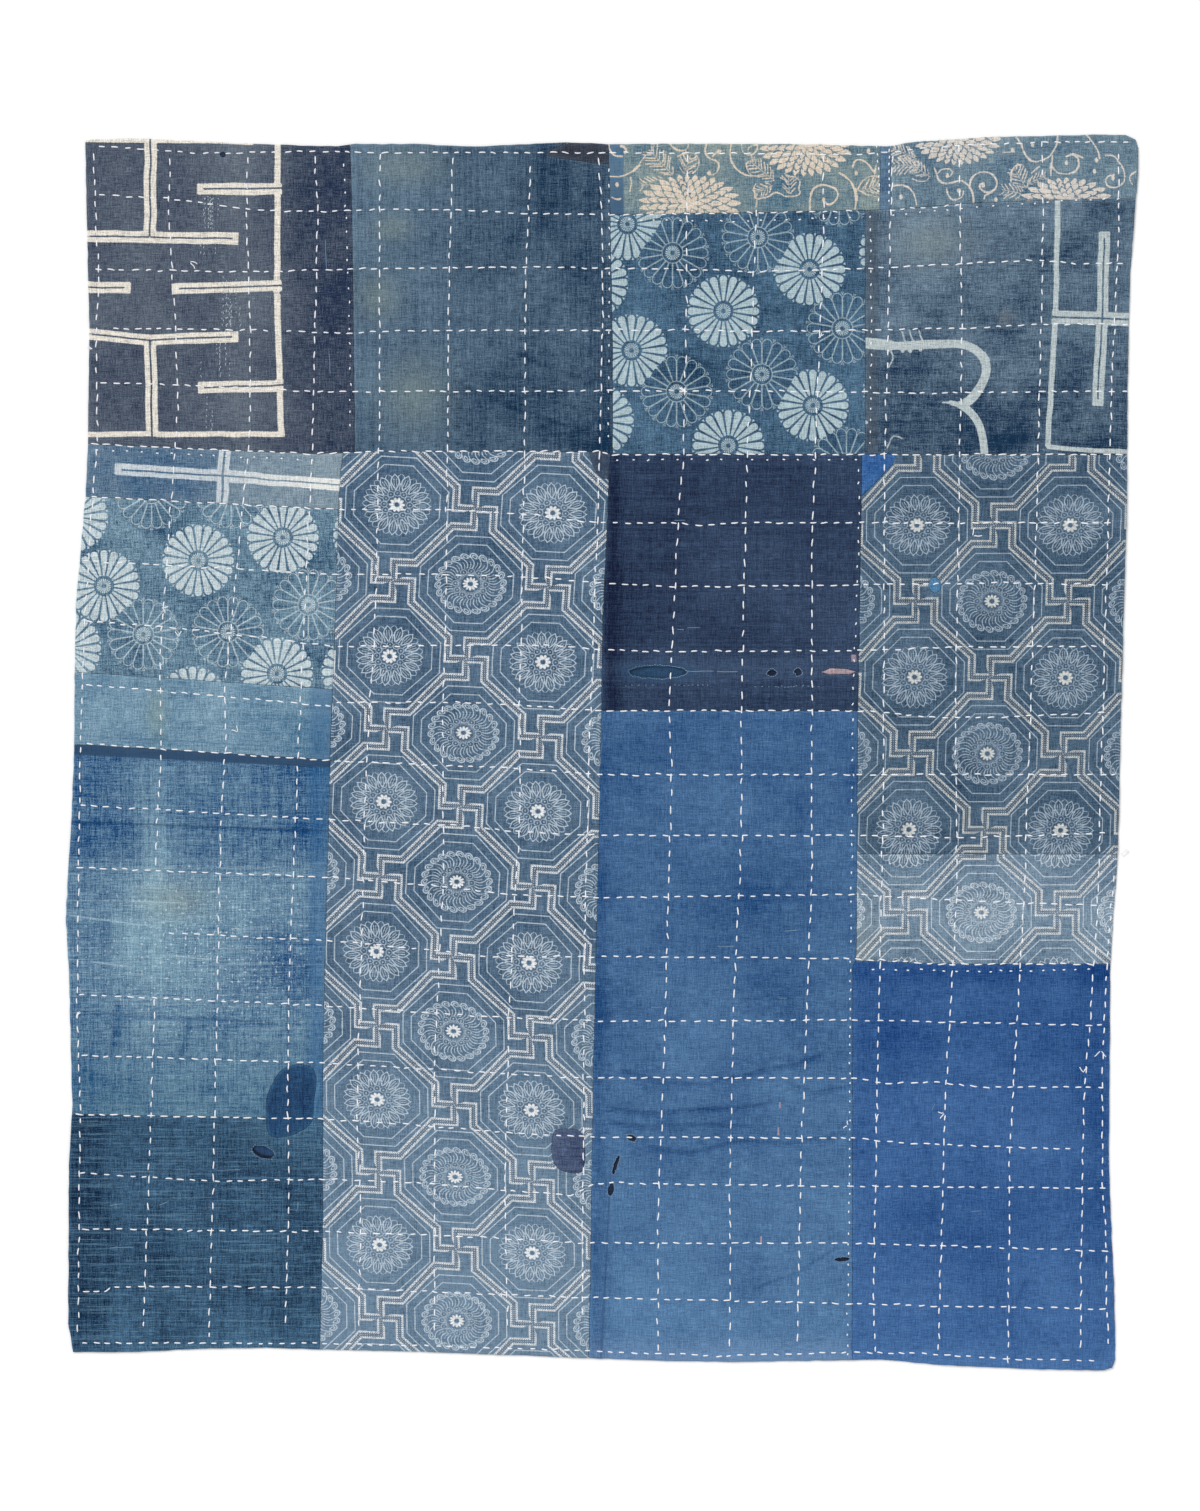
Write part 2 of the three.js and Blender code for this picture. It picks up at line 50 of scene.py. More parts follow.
# Rows of sashiko: stations (x, y) along each thread, in mm.
LEVEL_ROWS = (
    ((-619, 739), (-551, 735), (-484, 730), (-353, 733), (-271, 731), (107, 731), (315, 729), (437, 740),
     (547, 744), (644, 744)),
    ((-619, 680), (-527, 675), (-432, 662), (-353, 659), (-271, 662), (-185, 662), (-92, 657), (-2, 656)),
    ((-619, 589), (-432, 586), (-271, 590), (-92, 592), (95, 589), (184, 586), (315, 590), (528, 600),
     (583, 596), (642, 596)),
    ((-598, 517), (-429, 515), (-307, 511), (-246, 514), (107, 515), (205, 513), (437, 517), (534, 522),
     (642, 522)),
    ((-617, 451), (-490, 447), (-353, 440), (193, 441), (388, 438), (528, 440), (642, 440)),
    ((-627, 376), (-490, 370), (-353, 364), (-271, 367), (-2, 367), (11, 363), (642, 363)),
    ((-628, 312), (-320, 296), (-198, 296), (-100, 291), (-2, 280), (95, 279), (120, 276), (156, 280),
     (623, 280)),
    ((-637, 234), (-322, 217), (-228, 218), (-70, 213), (4, 206), (95, 202), (315, 204), (486, 207),
     (620, 204)),
    ((-634, 160), (-521, 152), (-415, 140), (-327, 129), (-88, 131), (46, 123), (317, 124), (437, 129),
     (608, 129)),
    ((-633, 83), (-332, 57), (-325, 61), (-161, 61), (-2, 51), (317, 51), (400, 43), (486, 43), (620, 49)),
    ((-634, 11), (-332, -10), (-185, -16), (-112, -19), (-2, -27), (626, -27)),
    ((-637, -64), (-332, -82), (-161, -90), (-124, -95), (-27, -101), (303, -101), (437, -104), (620, -98)),
    ((-642, -140), (-338, -152), (-198, -163), (-112, -173), (-2, -177), (309, -173), (400, -179),
     (608, -187)),
    ((-529, -220), (-338, -229), (-222, -239), (-149, -248), (290, -251), (425, -258), (608, -258)),
    ((-642, -295), (-338, -309), (-124, -323), (-2, -328), (309, -326), (620, -333)),
    ((-639, -369), (-356, -378), (-210, -386), (-39, -396), (309, -397), (351, -404), (412, -402),
     (461, -408), (620, -408)),
    ((-643, -441), (-344, -447), (-240, -453), (-112, -464), (-2, -469), (309, -470), (364, -476),
     (577, -484)),
    ((-642, -512), (-472, -523), (-326, -520), (-222, -525), (-39, -540), (-7, -525), (303, -529),
     (620, -531)),
    ((-640, -581), (-344, -584), (-131, -592), (-27, -598), (303, -598), (620, -608)),
    ((-639, -657), (-606, -657), (-598, -651), (-344, -652), (-70, -663), (303, -672), (620, -679)),
    ((-639, -720), (-344, -720), (-51, -728), (138, -736), (303, -731), (388, -733), (498, -739),
     (608, -742)),
)
UPRIGHT_ROWS = (
    ((-620, 735), (-613, 564), (-617, 515), (-615, 381), (-619, 329), (-630, 170), (-636, 3),
     (-640, -312), (-636, -432), (-639, -713)),
    ((-526, 731), (-528, 650), (-520, 518), (-517, 418), (-525, 309), (-539, 112), (-537, 9), (-545, -143)),
    ((-545, -298), (-549, -414), (-555, -595), (-559, -700)),
    ((-432, 731), (-433, 635), (-429, 526), (-429, 391), (-449, 188), (-460, 73), (-458, 21), (-465, -93),
     (-471, -403), (-479, -713)),
    ((-351, 731), (-346, 663), (-350, 526), (-353, 376), (-370, 8), (-381, -270), (-383, -430),
     (-381, -514), (-386, -705)),
    ((-271, 736), (-271, 424), (-276, 180), (-288, -25), (-290, -121), (-299, -457), (-294, -536),
     (-296, -708)),
    ((-182, 731), (-187, 540), (-190, 163), (-194, 60), (-193, -147), (-204, -365), (-204, -708)),
    ((-87, 717), (-93, 581), (-95, 303), (-100, 73), (-100, -66), (-113, -312), (-118, -523), (-115, -708)),
    ((-4, 731), (1, 613), (1, 526), (-5, 291), (-15, 21), (-21, -230), (-24, -695)),
    ((105, 731), (100, 361), (93, 291), (82, 46), (85, -18), (76, -362), (68, -576), (68, -731)),
    ((188, 668), (182, 486), (177, 357), (170, 45), (170, -113), (160, -318), (156, -528), (156, -729)),
    ((270, 731), (270, 622), (256, 252), (256, -154), (242, -514), (238, -733)),
    ((354, 731), (345, 369), (343, -53), (339, -243), (331, -664), (333, -731)),
    ((435, 745), (439, 513), (431, 59), (433, -162), (418, -441), (410, -731)),
    ((536, 747), (538, 657), (529, 240), (514, -188), (497, -486), (495, -746)),
    ((630, 736), (630, 635), (622, 458), (614, 175), (604, -203), (587, -432), (583, -731)),
    ((624, -143), (613, -302), (610, -406), (610, -528), (614, -583), (617, -731)),
)

# Long soft creases where the cover was folded, with painted shade in their lee: (height, half width,
# stations).
CREASES = (
    (1.5, 2.8, ((14, -431), (60, -437), (110, -433), (170, -430), (205, -425))),
    (1.0, 2.4, ((14, -449), (60, -454), (120, -451), (180, -454))),
    (1.5, 2.8, ((140, -397), (180, -391), (206, -382), (240, -378), (268, -366))),
    (1.3, 2.6, ((26, -385), (60, -395), (100, -400), (136, -402))),
    (1.2, 2.6, ((60, -478), (110, -486), (170, -470), (230, -474), (296, -462))),
    (1.1, 2.4, ((230, -400), (262, -412), (298, -405))),
    (1.0, 2.6, ((190, -650), (240, -632), (290, -600))),
    (1.0, 2.6, ((-180, 455), (-95, 418), (-20, 395))),
    (0.9, 2.6, ((-120, 500), (-60, 470), (-10, 455))),
    (0.8, 2.4, ((-112, 673), (-50, 671), (4, 668))),
    (0.9, 2.4, ((-638, -83), (-500, -88), (-335, -94))),
    (0.9, 2.8, ((-640, -314), (-520, -320), (-400, -327))),
    (1.2, 2.6, ((-586, -306), (-590, -340), (-596, -368))),
    (1.2, 2.6, ((-498, -322), (-504, -350), (-512, -374))),
    (1.0, 2.4, ((-454, -330), (-458, -352), (-457, -372))),
    (0.9, 2.6, ((-600, -560), (-596, -640), (-604, -700))),
    (0.8, 2.6, ((380, -420), (410, -520), (400, -600))),
    (1.0, 2.6, ((520, -640), (500, -690), (508, -735))),
)


# ---------------------------------------------------------------- heights and distances

def soft_noise(x, y, size, seed):
    """Random heights from -1 to 1 that change smoothly over size mm, or over (across, along) mm."""
    across, along = size if hasattr(size, "__len__") else (size, size)
    cells = np.random.default_rng(seed).uniform(-1, 1, (128, 128))
    u = np.asarray(x, float) / across + 300.3
    v = np.asarray(y, float) / along + 300.7
    i = np.floor(u).astype(int)
    j = np.floor(v).astype(int)
    s = u - i
    t = v - j
    s = s * s * (3 - 2 * s)
    t = t * t * (3 - 2 * t)
    i, j = i % 127, j % 127
    low = cells[i, j] * (1 - s) + cells[i + 1, j] * s
    high = cells[i, j + 1] * (1 - s) + cells[i + 1, j + 1] * s
    return low * (1 - t) + high * t


def from_rows(rows, along, across, ends):
    """Distance in mm from each point to the nearest row of stitches that runs past it."""
    nearest = np.full(np.shape(along), 1e3)
    for row in rows:
        stations = np.array(sorted(row, key=lambda p: p[ends]), float)
        run = stations[:, ends]
        off = np.abs(across - np.interp(along, run, stations[:, 1 - ends]))
        beyond = np.maximum(0, np.maximum(run[0] - along, along - run[-1]))
        nearest = np.minimum(nearest, np.hypot(off, beyond))
    return nearest


def quilting(x, y):
    """Height of the quilted face over its lowest, in mm: soft pillows that the rows of stitches draw
    down."""
    level = from_rows(LEVEL_ROWS, x, y, 0)
    upright = from_rows(UPRIGHT_ROWS, y, x, 1)
    pillow = (1 - np.exp(-(level / 12) ** 2)) * (1 - np.exp(-(upright / 12) ** 2))
    crown = 1.0 + 0.35 * soft_noise(x, y, 75, 1)
    drag = 0.32 * soft_noise(x, y, (9, 34), 2) * np.exp(-(level / 26) ** 2)
    drag = drag + 0.32 * soft_noise(x, y, (34, 9), 3) * np.exp(-(upright / 26) ** 2)
    rumple = 0.16 * soft_noise(x, y, 17, 4) + 0.1 * soft_noise(x, y, 7, 5) + crease_height_and_shade(x, y)[0]
    return np.clip(0.12 + crown * pillow + drag + rumple, 0, 1.85)


def crease_height_and_shade(x, y):
    """The creases' own height, each a low ridge with a trough under it, and how much shade is painted
    in each one's lee."""
    height = np.zeros(np.shape(x))
    lee_painted_shade = np.zeros(np.shape(x))
    for rise, half, stations in CREASES:
        ridge = np.exp(-(from_line(x, y, stations) / half) ** 2)
        below = from_line(x + half, y + 1.3 * half, stations) / half
        height += rise * (ridge * 0.6 - np.exp(-below ** 2))
        # Painted shade: the face is drawn darker in the lee of each crease.
        lee_painted_shade = np.maximum(lee_painted_shade, rise * np.exp(-(below / 1.4) ** 2))
    return height, lee_painted_shade


def from_line(x, y, points):
    """Distance in mm from each point to a line through points."""
    nearest = np.full(np.shape(x), 1e6)
    for (ax, ay), (bx, by) in zip(points[:-1], points[1:]):
        dx, dy = bx - ax, by - ay
        t = np.clip(((x - ax) * dx + (y - ay) * dy) / max(dx * dx + dy * dy, 1e-9), 0, 1)
        nearest = np.minimum(nearest, (x - ax - t * dx) ** 2 + (y - ay - t * dy) ** 2)
    return np.sqrt(nearest)


def flowing(points):
    """The same line with its corners cut round, as a brush draws it."""
    points = [np.array(p, float) for p in points]
    for _ in range(2):
        cut = [points[0]]
        for a, b in zip(points[:-1], points[1:]):
            cut += [a * 0.75 + b * 0.25, a * 0.25 + b * 0.75]
        points = cut + [points[-1]]
    return points


def from_rim(x, y, loops):
    """Distance in mm from each point to the nearest edge or opening of its cloth."""
    ends = [np.array(loop, float) for loop in loops]
    starts = np.vstack(ends)
    stops = np.vstack([np.roll(e, -1, axis=0) for e in ends])
    step = stops - starts
    length = np.maximum((step ** 2).sum(1), 1e-9)
    away = np.empty(len(x))
    for first in range(0, len(x), 1500):
        part = slice(first, first + 1500)
        dx = x[part, None] - starts[None, :, 0]
        dy = y[part, None] - starts[None, :, 1]
        t = np.clip((dx * step[:, 0] + dy * step[:, 1]) / length, 0, 1)
        away[part] = np.sqrt(((dx - t * step[:, 0]) ** 2 + (dy - t * step[:, 1]) ** 2).min(1))
    return away


# ---------------------------------------------------------------- cut pieces

def cut_outlines(node):
    """The loops round a CAD cloth's flat underside in mm, its outer edge first and then its openings."""
    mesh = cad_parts[node].data
    spots = {}
    welded = []
    for v in mesh.vertices:
        key = tuple(round(c / MM, 2) for c in v.co)
        welded.append(spots.setdefault(key, len(spots)))
    places = list(spots)
    floor = min(p[2] for p in places)
    after = {}
    for face in mesh.polygons:
        corners = [welded[i] for i in face.vertices]
        if max(places[c][2] for c in corners) > floor + 0.05:
            continue
        for a, b in zip(corners, corners[1:] + corners[:1]):
            if after.get(b) == a or (b in after and a in after[b]):
                after[b].remove(a)
            else:
                after.setdefault(a, []).append(b)
    loops = []
    while any(after.values()):
        start = next(a for a, nexts in after.items() if nexts)
        loop = [start]
        here = after[start].pop()
        while here != start:
            loop.append(here)
            here = after[here].pop()
        loops.append([places[c][:2] for c in loop])
    return sorted(loops, key=lambda loop: -abs(turned_area(loop)))


def turned_area(loop):
    """Area inside a loop in square mm, positive where it runs anticlockwise."""
    p = np.array(loop, float)
    q = np.roll(p, -1, axis=0)
    return float((p[:, 0] * q[:, 1] - q[:, 0] * p[:, 1]).sum() / 2)


def evened(loop, step):
    """The loop with stations no more than step mm apart."""
    out = []
    for a, b in zip(loop, loop[1:] + loop[:1]):
        count = max(1, math.ceil(math.dist(a, b) / step))
        out += [(a[0] + (b[0] - a[0]) * k / count, a[1] + (b[1] - a[1]) * k / count) for k in range(count)]
    return out


def hand_cut(loop):
    """The loop as scissors and a hand-turned hem leave it: a fraction of a millimetre off true."""
    p = np.array(loop, float)
    x = p[:, 0] + 0.45 * soft_noise(p[:, 0], p[:, 1], 11, 6)
    y = p[:, 1] + 0.45 * soft_noise(p[:, 0], p[:, 1], 11, 7)
    return list(zip(x, y))


def drawn_in(loop, width):
    """Points width mm inside the cloth from each station of a loop."""
    p = np.array(loop, float)
    along = np.roll(p, -1, axis=0) - np.roll(p, 1, axis=0)
    along /= np.maximum(np.hypot(along[:, 0], along[:, 1]), 1e-9)[:, None]
    return p + width * np.stack([-along[:, 1], along[:, 0]], 1)


def stations_along(line, step):
    """Places no more than step mm apart along an open line."""
    p = np.array(line, float)
    run = np.concatenate([[0], np.cumsum(np.hypot(*np.diff(p, axis=0).T))])
    at = np.linspace(0, run[-1], max(2, math.ceil(run[-1] / step) + 1))
    return np.stack([np.interp(at, run, p[:, 0]), np.interp(at, run, p[:, 1])], 1)


def beside(line, offsets):
    """Points close together along a line and beside it: a mesh through them keeps the line crisp."""
    p = stations_along(line, 1.8)
    along = np.gradient(p, axis=0)
    along /= np.maximum(np.hypot(along[:, 0], along[:, 1]), 1e-6)[:, None]
    normal = np.stack([-along[:, 1], along[:, 0]], 1)
    return np.vstack([p + normal * o for o in offsets])


def spread_mesh(loops, inner):
    """Triangles that fill the outer loop less its openings, through the inner points too."""
    points = []
    rings = []
    for loop in loops:
        rings.append(list(range(len(points), len(points) + len(loop))))
        points += [Vector((float(a), float(b))) for a, b in loop]
    rim = len(points)
    points += [Vector((float(a), float(b))) for a, b in inner]
    places, _, faces, _, _, _ = delaunay_2d_cdt(points, [], rings, 2, 1e-7)
    return np.array([p[:] for p in places]), [tuple(f) for f in faces], rings, rim


# Lines of points that the mesh has along a dyed line, along a crease, and inside a hem, in mm from each.
DYED_LINE_SIDES = (-1.6, 0, 1.6)
CREASE_SIDES = (-7.0, -5.6, -4.2, -2.8, -1.4, 0, 1.4, 2.8, 4.2)
HEM_WIDTHS = (0.5, 1.2, 3.0)
LEAST_SIDE = 10.0


def outline_of(name, step):
    """The hand-cut loops of one cloth: its edge anticlockwise, then its openings clockwise."""
    loops = [hand_cut(evened(loop, min(step, 4.0))) for loop in cut_outlines(name)]
    if turned_area(loops[0]) < 0:
        loops[0].reverse()
    return [loops[0]] + [loop if turned_area(loop) < 0 else loop[::-1] for loop in loops[1:]]


def places_inside(loops, step, guides):
    """Points of the mesh inside a cloth: an even grid, and closer ones beside the guides and along the
    hems. guides are (line, distances to its sides)."""
    outer = np.array(loops[0])
    left, lowest = outer.min(0)
    right, highest = outer.max(0)
    grid = []
    for k, y in enumerate(np.arange(lowest, highest, step * 0.9)):
        grid += [(x + step * (k % 2) / 2, y) for x in np.arange(left, right, step)]
    grid = np.array(grid)
    grid = grid[from_rim(grid[:, 0], grid[:, 1], loops) > 3.0 + step * 0.45]
    close = []
    for line, sides in guides:
        points = beside(line, sides)
        points = points[(points > outer.min(0)).all(1) & (points < outer.max(0)).all(1)]
        if len(points):
            points = points[from_rim(points[:, 0], points[:, 1], loops) > 3.6]
            grid = grid[from_line(grid[:, 0], grid[:, 1], line) > sides[-1] + step * 0.4]
            close.append(points)
    hems = []
    for width in HEM_WIDTHS:
        ring = np.vstack([drawn_in(loop, width) for loop in loops])
        hems.append(ring[from_rim(ring[:, 0], ring[:, 1], loops) > width * 0.9])
    return np.vstack(close + [grid] + hems)


def write_on(mesh, attribute, values, per="POINT"):
    """Stores a number or a place for each point or face of a mesh, for its material to read."""
    values = np.asarray(values, np.float32)
    kind, field = ("FLOAT_VECTOR", "vector") if values.ndim == 2 else ("FLOAT", "value")
    mesh.attributes.new(attribute, kind, per).data.foreach_set(field, values.ravel())


def lay_cloth(name, material, step, marks=(), through=(), top=FACE_LOW, under=FACE_UNDERSIDE, loft=1.0):
    """Makes one cloth as a closed thin sheet on its CAD outline, with a hand-turned edge, a quilted
    face and a flat underside. marks are the patterns reckoned point by point: (attribute, kind,
    function). The mesh follows the lines in through, and the creases. Gives the piece, its flat size
    and its area."""
    loops = outline_of(name, step)
    guides = [(line, DYED_LINE_SIDES) for line in through]
    if loft:
        guides += [(line, CREASE_SIDES) for _, _, line in CREASES]
    places, faces, rings, rim = spread_mesh(loops, places_inside(loops, step, guides))
    used = np.zeros(len(places), bool)
    used[[i for f in faces for i in f]] = True
    used[:rim] = True
    renumber = np.cumsum(used) - 1
    places = places[used]
    faces = [tuple(int(renumber[i]) for i in f) for f in faces]
    x, y = places[:, 0], places[:, 1]
    edge = from_rim(x, y, loops)
    # The hem: a low roll 4.5 mm in, turned down over the rim.
    hem = 0.28 * np.exp(-((edge - 4.5) / 3.0) ** 2) - 0.9 * np.exp(-edge / 0.9)
    height = np.maximum(top + loft * (quilting(x, y) + hem), under + 0.3)
    verts = [(a * MM, b * MM, c * MM) for a, b, c in zip(x, y, height)]
    verts += [(a * MM, b * MM, under * MM) for a, b in places[:rim]]
    base = len(places)
    for ring in rings:
        faces += [(b, a, base + a, base + b) for a, b in zip(ring, ring[1:] + ring[:1])]
    _, underside, _, _ = spread_mesh(loops, [])
    faces += [tuple(base + i for i in reversed(f)) for f in underside]
    mesh = bpy.data.meshes.new(name)
    mesh.from_pydata(verts, [], faces)
    mesh.polygons.foreach_set("use_smooth", [True] * len(faces))
    all_x = np.concatenate([x, places[:rim, 0]])
    all_y = np.concatenate([y, places[:rim, 1]])
    write_on(mesh, "edge", np.concatenate([edge, np.zeros(rim)]))
    # Painted shade in the lee of each crease, for the material to darken the face by.
    write_on(mesh, "crease_shade", crease_height_and_shade(all_x, all_y)[1] * loft)
    for attribute, kind, reckon in marks:
        if kind == "distance":
            write_on(mesh, attribute, reckon(all_x, all_y))
        elif kind == "place":
            write_on(mesh, attribute, np.stack(reckon(all_x, all_y), 1))
        else:
            centres = np.array([p.center[:2] for p in mesh.polygons]) / MM
            write_on(mesh, attribute, np.stack(reckon(centres[:, 0], centres[:, 1]), 1), "FACE")
    mesh.materials.append(material)
    mesh.validate()
    piece = bpy.data.objects.new(name + "_cloth" if "cloth" not in name else name + "_sheet", mesh)
    bpy.context.scene.collection.objects.link(piece)
    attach(piece, "root")
    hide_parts(name)
    outer = np.array(loops[0])
    across, up = outer.max(0) - outer.min(0)
    size = (max(across, LEAST_SIDE) * MM, max(up, LEAST_SIDE) * MM)
    area = sum(turned_area(loop) for loop in loops) * MM * MM
    return piece, size, min(area, size[0] * size[1])


# ---------------------------------------------------------------- resist patterns reckoned point by point

def bars(x, y, pieces):
    """Signed distance in mm to straight bars with square ends, given as (half width, stations)."""
    nearest = np.full(np.shape(x), 60.0)
    for half, stations in pieces:
        for (ax, ay), (bx, by) in zip(stations[:-1], stations[1:]):
            length = math.dist((ax, ay), (bx, by))
            cx, cy = (bx - ax) / length, (by - ay) / length
            along = (x - ax) * cx + (y - ay) * cy
            across = (y - ay) * cx - (x - ax) * cy
            box = np.maximum(np.abs(along - length / 2) - length / 2, np.abs(across) - half)
            nearest = np.minimum(nearest, box)
    return nearest


def strokes(x, y, pieces):
    """Signed distance in mm to brush strokes with round ends, given as (half width, stations)."""
    nearest = np.full(np.shape(x), 60.0)
    for half, stations in pieces:
        nearest = np.minimum(nearest, from_line(x, y, flowing(stations)) - half)
    return nearest


def wavering(x, y):
    """The cloth's places moved by the waver of a hand that pipes rice paste."""
    return x + 0.7 * soft_noise(x, y, 21, 11), y + 0.7 * soft_noise(x, y, 21, 12)


# A hooked fret of double lines: cream bars, each with a dyed line down its middle.
NAVY_FRET_BARS = (
    (7.5, ((-550, 760), (-551, 628))),
    (7.2, ((-650, 630), (-551, 628), (-443, 626))),
    (7.0, ((-494, 687), (-390, 687))),
    (7.0, ((-650, 568), (-575, 566))),
    (6.5, ((-524, 565), (-390, 569))),
    (6.7, ((-650, 512), (-551, 503), (-443, 507))),
    (7.3, ((-551, 504), (-548, 385))),
    (7.0, ((-492, 445), (-388, 447))),
    (3.6, ((-395, 750), (-396, 560), (-391, 385))),
    (3.2, ((-650, 388), (-387, 388))),
    (5.0, ((-650, 750), (-425, 746))),
)
NAVY_FRET_LINES = (
    (1.15, ((-550, 760), (-551, 628))),
    (1.1, ((-650, 630), (-551, 628), (-450, 626))),
    (1.1, ((-487, 687), (-386, 688))),
    (1.1, ((-650, 568), (-582, 566))),
    (1.1, ((-516, 565), (-386, 569))),
    (1.15, ((-650, 512), (-551, 503), (-450, 507))),
    (1.2, ((-551, 504), (-548, 380))),
    (1.1, ((-485, 445), (-384, 448))),
)
BLUE_FRET_BARS = (
    (3.3, ((556, 690), (553, 540), (549, 467), (543, 372))),
    (8.0, ((548, 531), (608, 529), (655, 527))),
    (7.0, ((612, 635), (610, 530), (604, 422))),
    (2.8, ((542, 373), (578, 369), (655, 366))),
)
BLUE_FRET_LINES = (
    (1.2, ((540, 531), (608, 529), (655, 527))),
    (1.0, ((612, 628), (610, 530), (604, 430))),
)
BLUE_BRUSH_LINES = (
    (6.9, ((310, 500), (330, 499), (352, 496))),
    (5.6, ((345, 497), (364, 495), (388, 497), (417, 498), (439, 498), (456, 491), (467, 478))),
    (5.8, ((464, 483), (469, 467), (464, 449), (454, 435), (443, 426))),
    (3.4, ((425, 426), (434, 424), (446, 419))),
    (1.5, ((415, 426), (426, 426))),
    (5.0, ((436, 424), (446, 418), (455, 408), (464, 390), (467, 360))),
    (1.4, ((366, 514), (368, 505), (372, 498))),
    (1.4, ((375, 515), (377, 506), (381, 499))),
    (1.4, ((387, 514), (389, 506), (392, 499))),
    (2.6, ((365, 492), (367, 489))),
    (2.6, ((374, 492), (376, 489))),
    (2.6, ((386, 494), (388, 491))),
    (1.3, ((346, 491), (354, 487), (355, 479), (349, 469))),
    (1.3, ((348, 371), (353, 384), (357, 387), (368, 382))),
    (2.4, ((318, 404), (323, 402))),
)
CROSS_BARS = (
    (7.1, ((-594, 346), (-461, 337), (-310, 325))),
    (7.2, ((-459, 380), (-462, 337), (-464, 290))),
)
CROSS_LINES = (
    (1.1, ((-586, 345), (-461, 337), (-310, 325))),
    (1.4, ((-459, 380), (-462, 337), (-464, 290))),
)


def unwavered(lines):
    """Where the middles of the dyed lines come to lie on the cloth."""
    drawn = [stations_along(stations, 12) for _, stations in lines]
    return [2 * p - np.stack(wavering(p[:, 0], p[:, 1]), 1) for p in drawn]


def navy_fret(x, y):
    x, y = wavering(x, y)
    return np.maximum(bars(x, y, NAVY_FRET_BARS), -bars(x, y, NAVY_FRET_LINES))


def blue_fret(x, y):
    x, y = wavering(x, y)
    fret = np.maximum(bars(x, y, BLUE_FRET_BARS), -bars(x, y, BLUE_FRET_LINES))
    return np.minimum(fret, strokes(x, y, BLUE_BRUSH_LINES) + 0.4)


def cross_bar(x, y):
    x, y = wavering(x, y)
    return np.maximum(bars(x, y, CROSS_BARS), -bars(x, y, CROSS_LINES))


# Scrolling vines, as (half width, stations), with leaves, buds and many-petalled flower heads.
VINES_LEFT = (
    (1.0, ((6, 702), (25, 702), (35, 707), (43, 712), (49, 722), (53, 728))),
    (1.6, ((38, 709), (46, 716))),
    (1.0, ((8, 741), (9, 734), (15, 727), (25, 727))),
    (1.7, ((23, 739), (27, 738), (29, 735), (28, 731))),
    (1.0, ((12, 677), (18, 674), (23, 675))),
    (1.1, ((35, 701), (36, 693), (34, 684))),
    (0.9, ((83, 741), (89, 735), (97, 733), (104, 735), (105, 742))),
    (0.9, ((92, 726), (100, 730), (109, 731), (116, 728), (119, 721), (117, 711), (111, 706))),
    (1.1, ((127, 741), (125, 734), (127, 729), (131, 724), (139, 722), (143, 716), (141, 707), (135, 703),
           (129, 706))),
    (1.4, ((135, 727), (137, 730), (145, 733))),
    (1.1, ((158, 742), (156, 730), (158, 718), (166, 709), (176, 704), (182, 703))),
    (0.9, ((170, 742), (171, 733), (177, 728), (184, 729), (189, 734), (190, 741), (182, 740),
           (178, 735))),
    (0.8, ((188, 722), (178, 721), (175, 716), (178, 708), (184, 703))),
    (0.9, ((187, 693), (184, 687), (187, 681), (185, 675), (194, 675), (204, 678), (210, 683),
           (218, 681))),
    (0.9, ((189, 674), (188, 665))),
    (0.9, ((218, 681), (224, 678), (237, 678), (242, 682), (239, 687), (242, 695), (237, 701),
           (226, 704))),
    (1.2, ((271, 675), (273, 669), (279, 668), (285, 673), (288, 681), (284, 687), (277, 691), (269, 692),
           (259, 689), (254, 681), (253, 671), (254, 660))),
    (1.2, ((289, 706), (296, 703), (303, 696), (308, 687), (310, 677), (308, 657))),
    (2.2, ((309, 686), (310, 674))),
    (1.2, ((306, 714), (308, 721), (314, 723), (322, 720), (328, 712), (333, 706))),
    (1.0, ((334, 716), (333, 709))),
    (0.8, ((312, 687), (319, 699), (330, 703), (339, 701))),
    (0.8, ((312, 686), (319, 683), (322, 679), (338, 677))),
)
VINES_RIGHT = (
    (1.1, ((405, 712), (408, 705), (410, 698), (417, 693), (425, 694), (433, 697), (440, 697))),
    (0.9, ((409, 706), (414, 711), (422, 712), (427, 709), (426, 703), (421, 701))),
    (1.2, ((440, 696), (446, 692), (450, 686), (453, 678), (452, 668))),
    (1.2, ((448, 688), (449, 698), (455, 705), (464, 708), (474, 706), (481, 699), (482, 692), (476, 684),
           (468, 682), (461, 686), (460, 692), (466, 694))),
    (1.1, ((420, 688), (421, 680), (425, 674), (431, 673), (439, 677), (440, 684))),
    (1.0, ((474, 682), (467, 679), (466, 674))),
    (1.1, ((350, 689), (362, 692), (370, 691), (378, 685), (382, 677), (383, 667))),
    (0.9, ((379, 699), (386, 696), (395, 696), (400, 702))),
    (1.1, ((505, 750), (511, 742), (513, 735), (517, 727), (525, 720), (535, 721), (545, 725), (551, 734),
           (555, 743), (556, 752))),
    (1.2, ((549, 727), (548, 716), (547, 703))),
    (1.2, ((547, 718), (551, 710), (560, 705), (570, 705), (578, 709), (582, 718), (580, 725), (574, 730),
           (566, 727))),
    (1.0, ((574, 730), (586, 725))),
    (1.2, ((591, 752), (598, 744), (604, 735), (607, 724))),
    (1.1, ((614, 728), (623, 728), (628, 723), (635, 714), (638, 704), (636, 694), (627, 688), (617, 690),
           (613, 696), (616, 703), (625, 704))),
    (1.0, ((651, 708), (644, 704), (643, 698), (647, 692))),
    (0.7, ((482, 733), (492, 731), (503, 732))),
    (1.0, ((499, 696), (498, 708), (504, 716), (511, 716))),
    (0.9, ((523, 706), (533, 714))),
)
BUDS_LEFT = (
    (18, 692), (131, 706), (142, 732), (270, 674), (310, 706), (325, 733),
)
BUDS_RIGHT = (
    (421, 703), (465, 691), (435, 685), (480, 674), (364, 677), (525, 740), (566, 719), (603, 722),
    (600, 708), (623, 700), (501, 734),
)
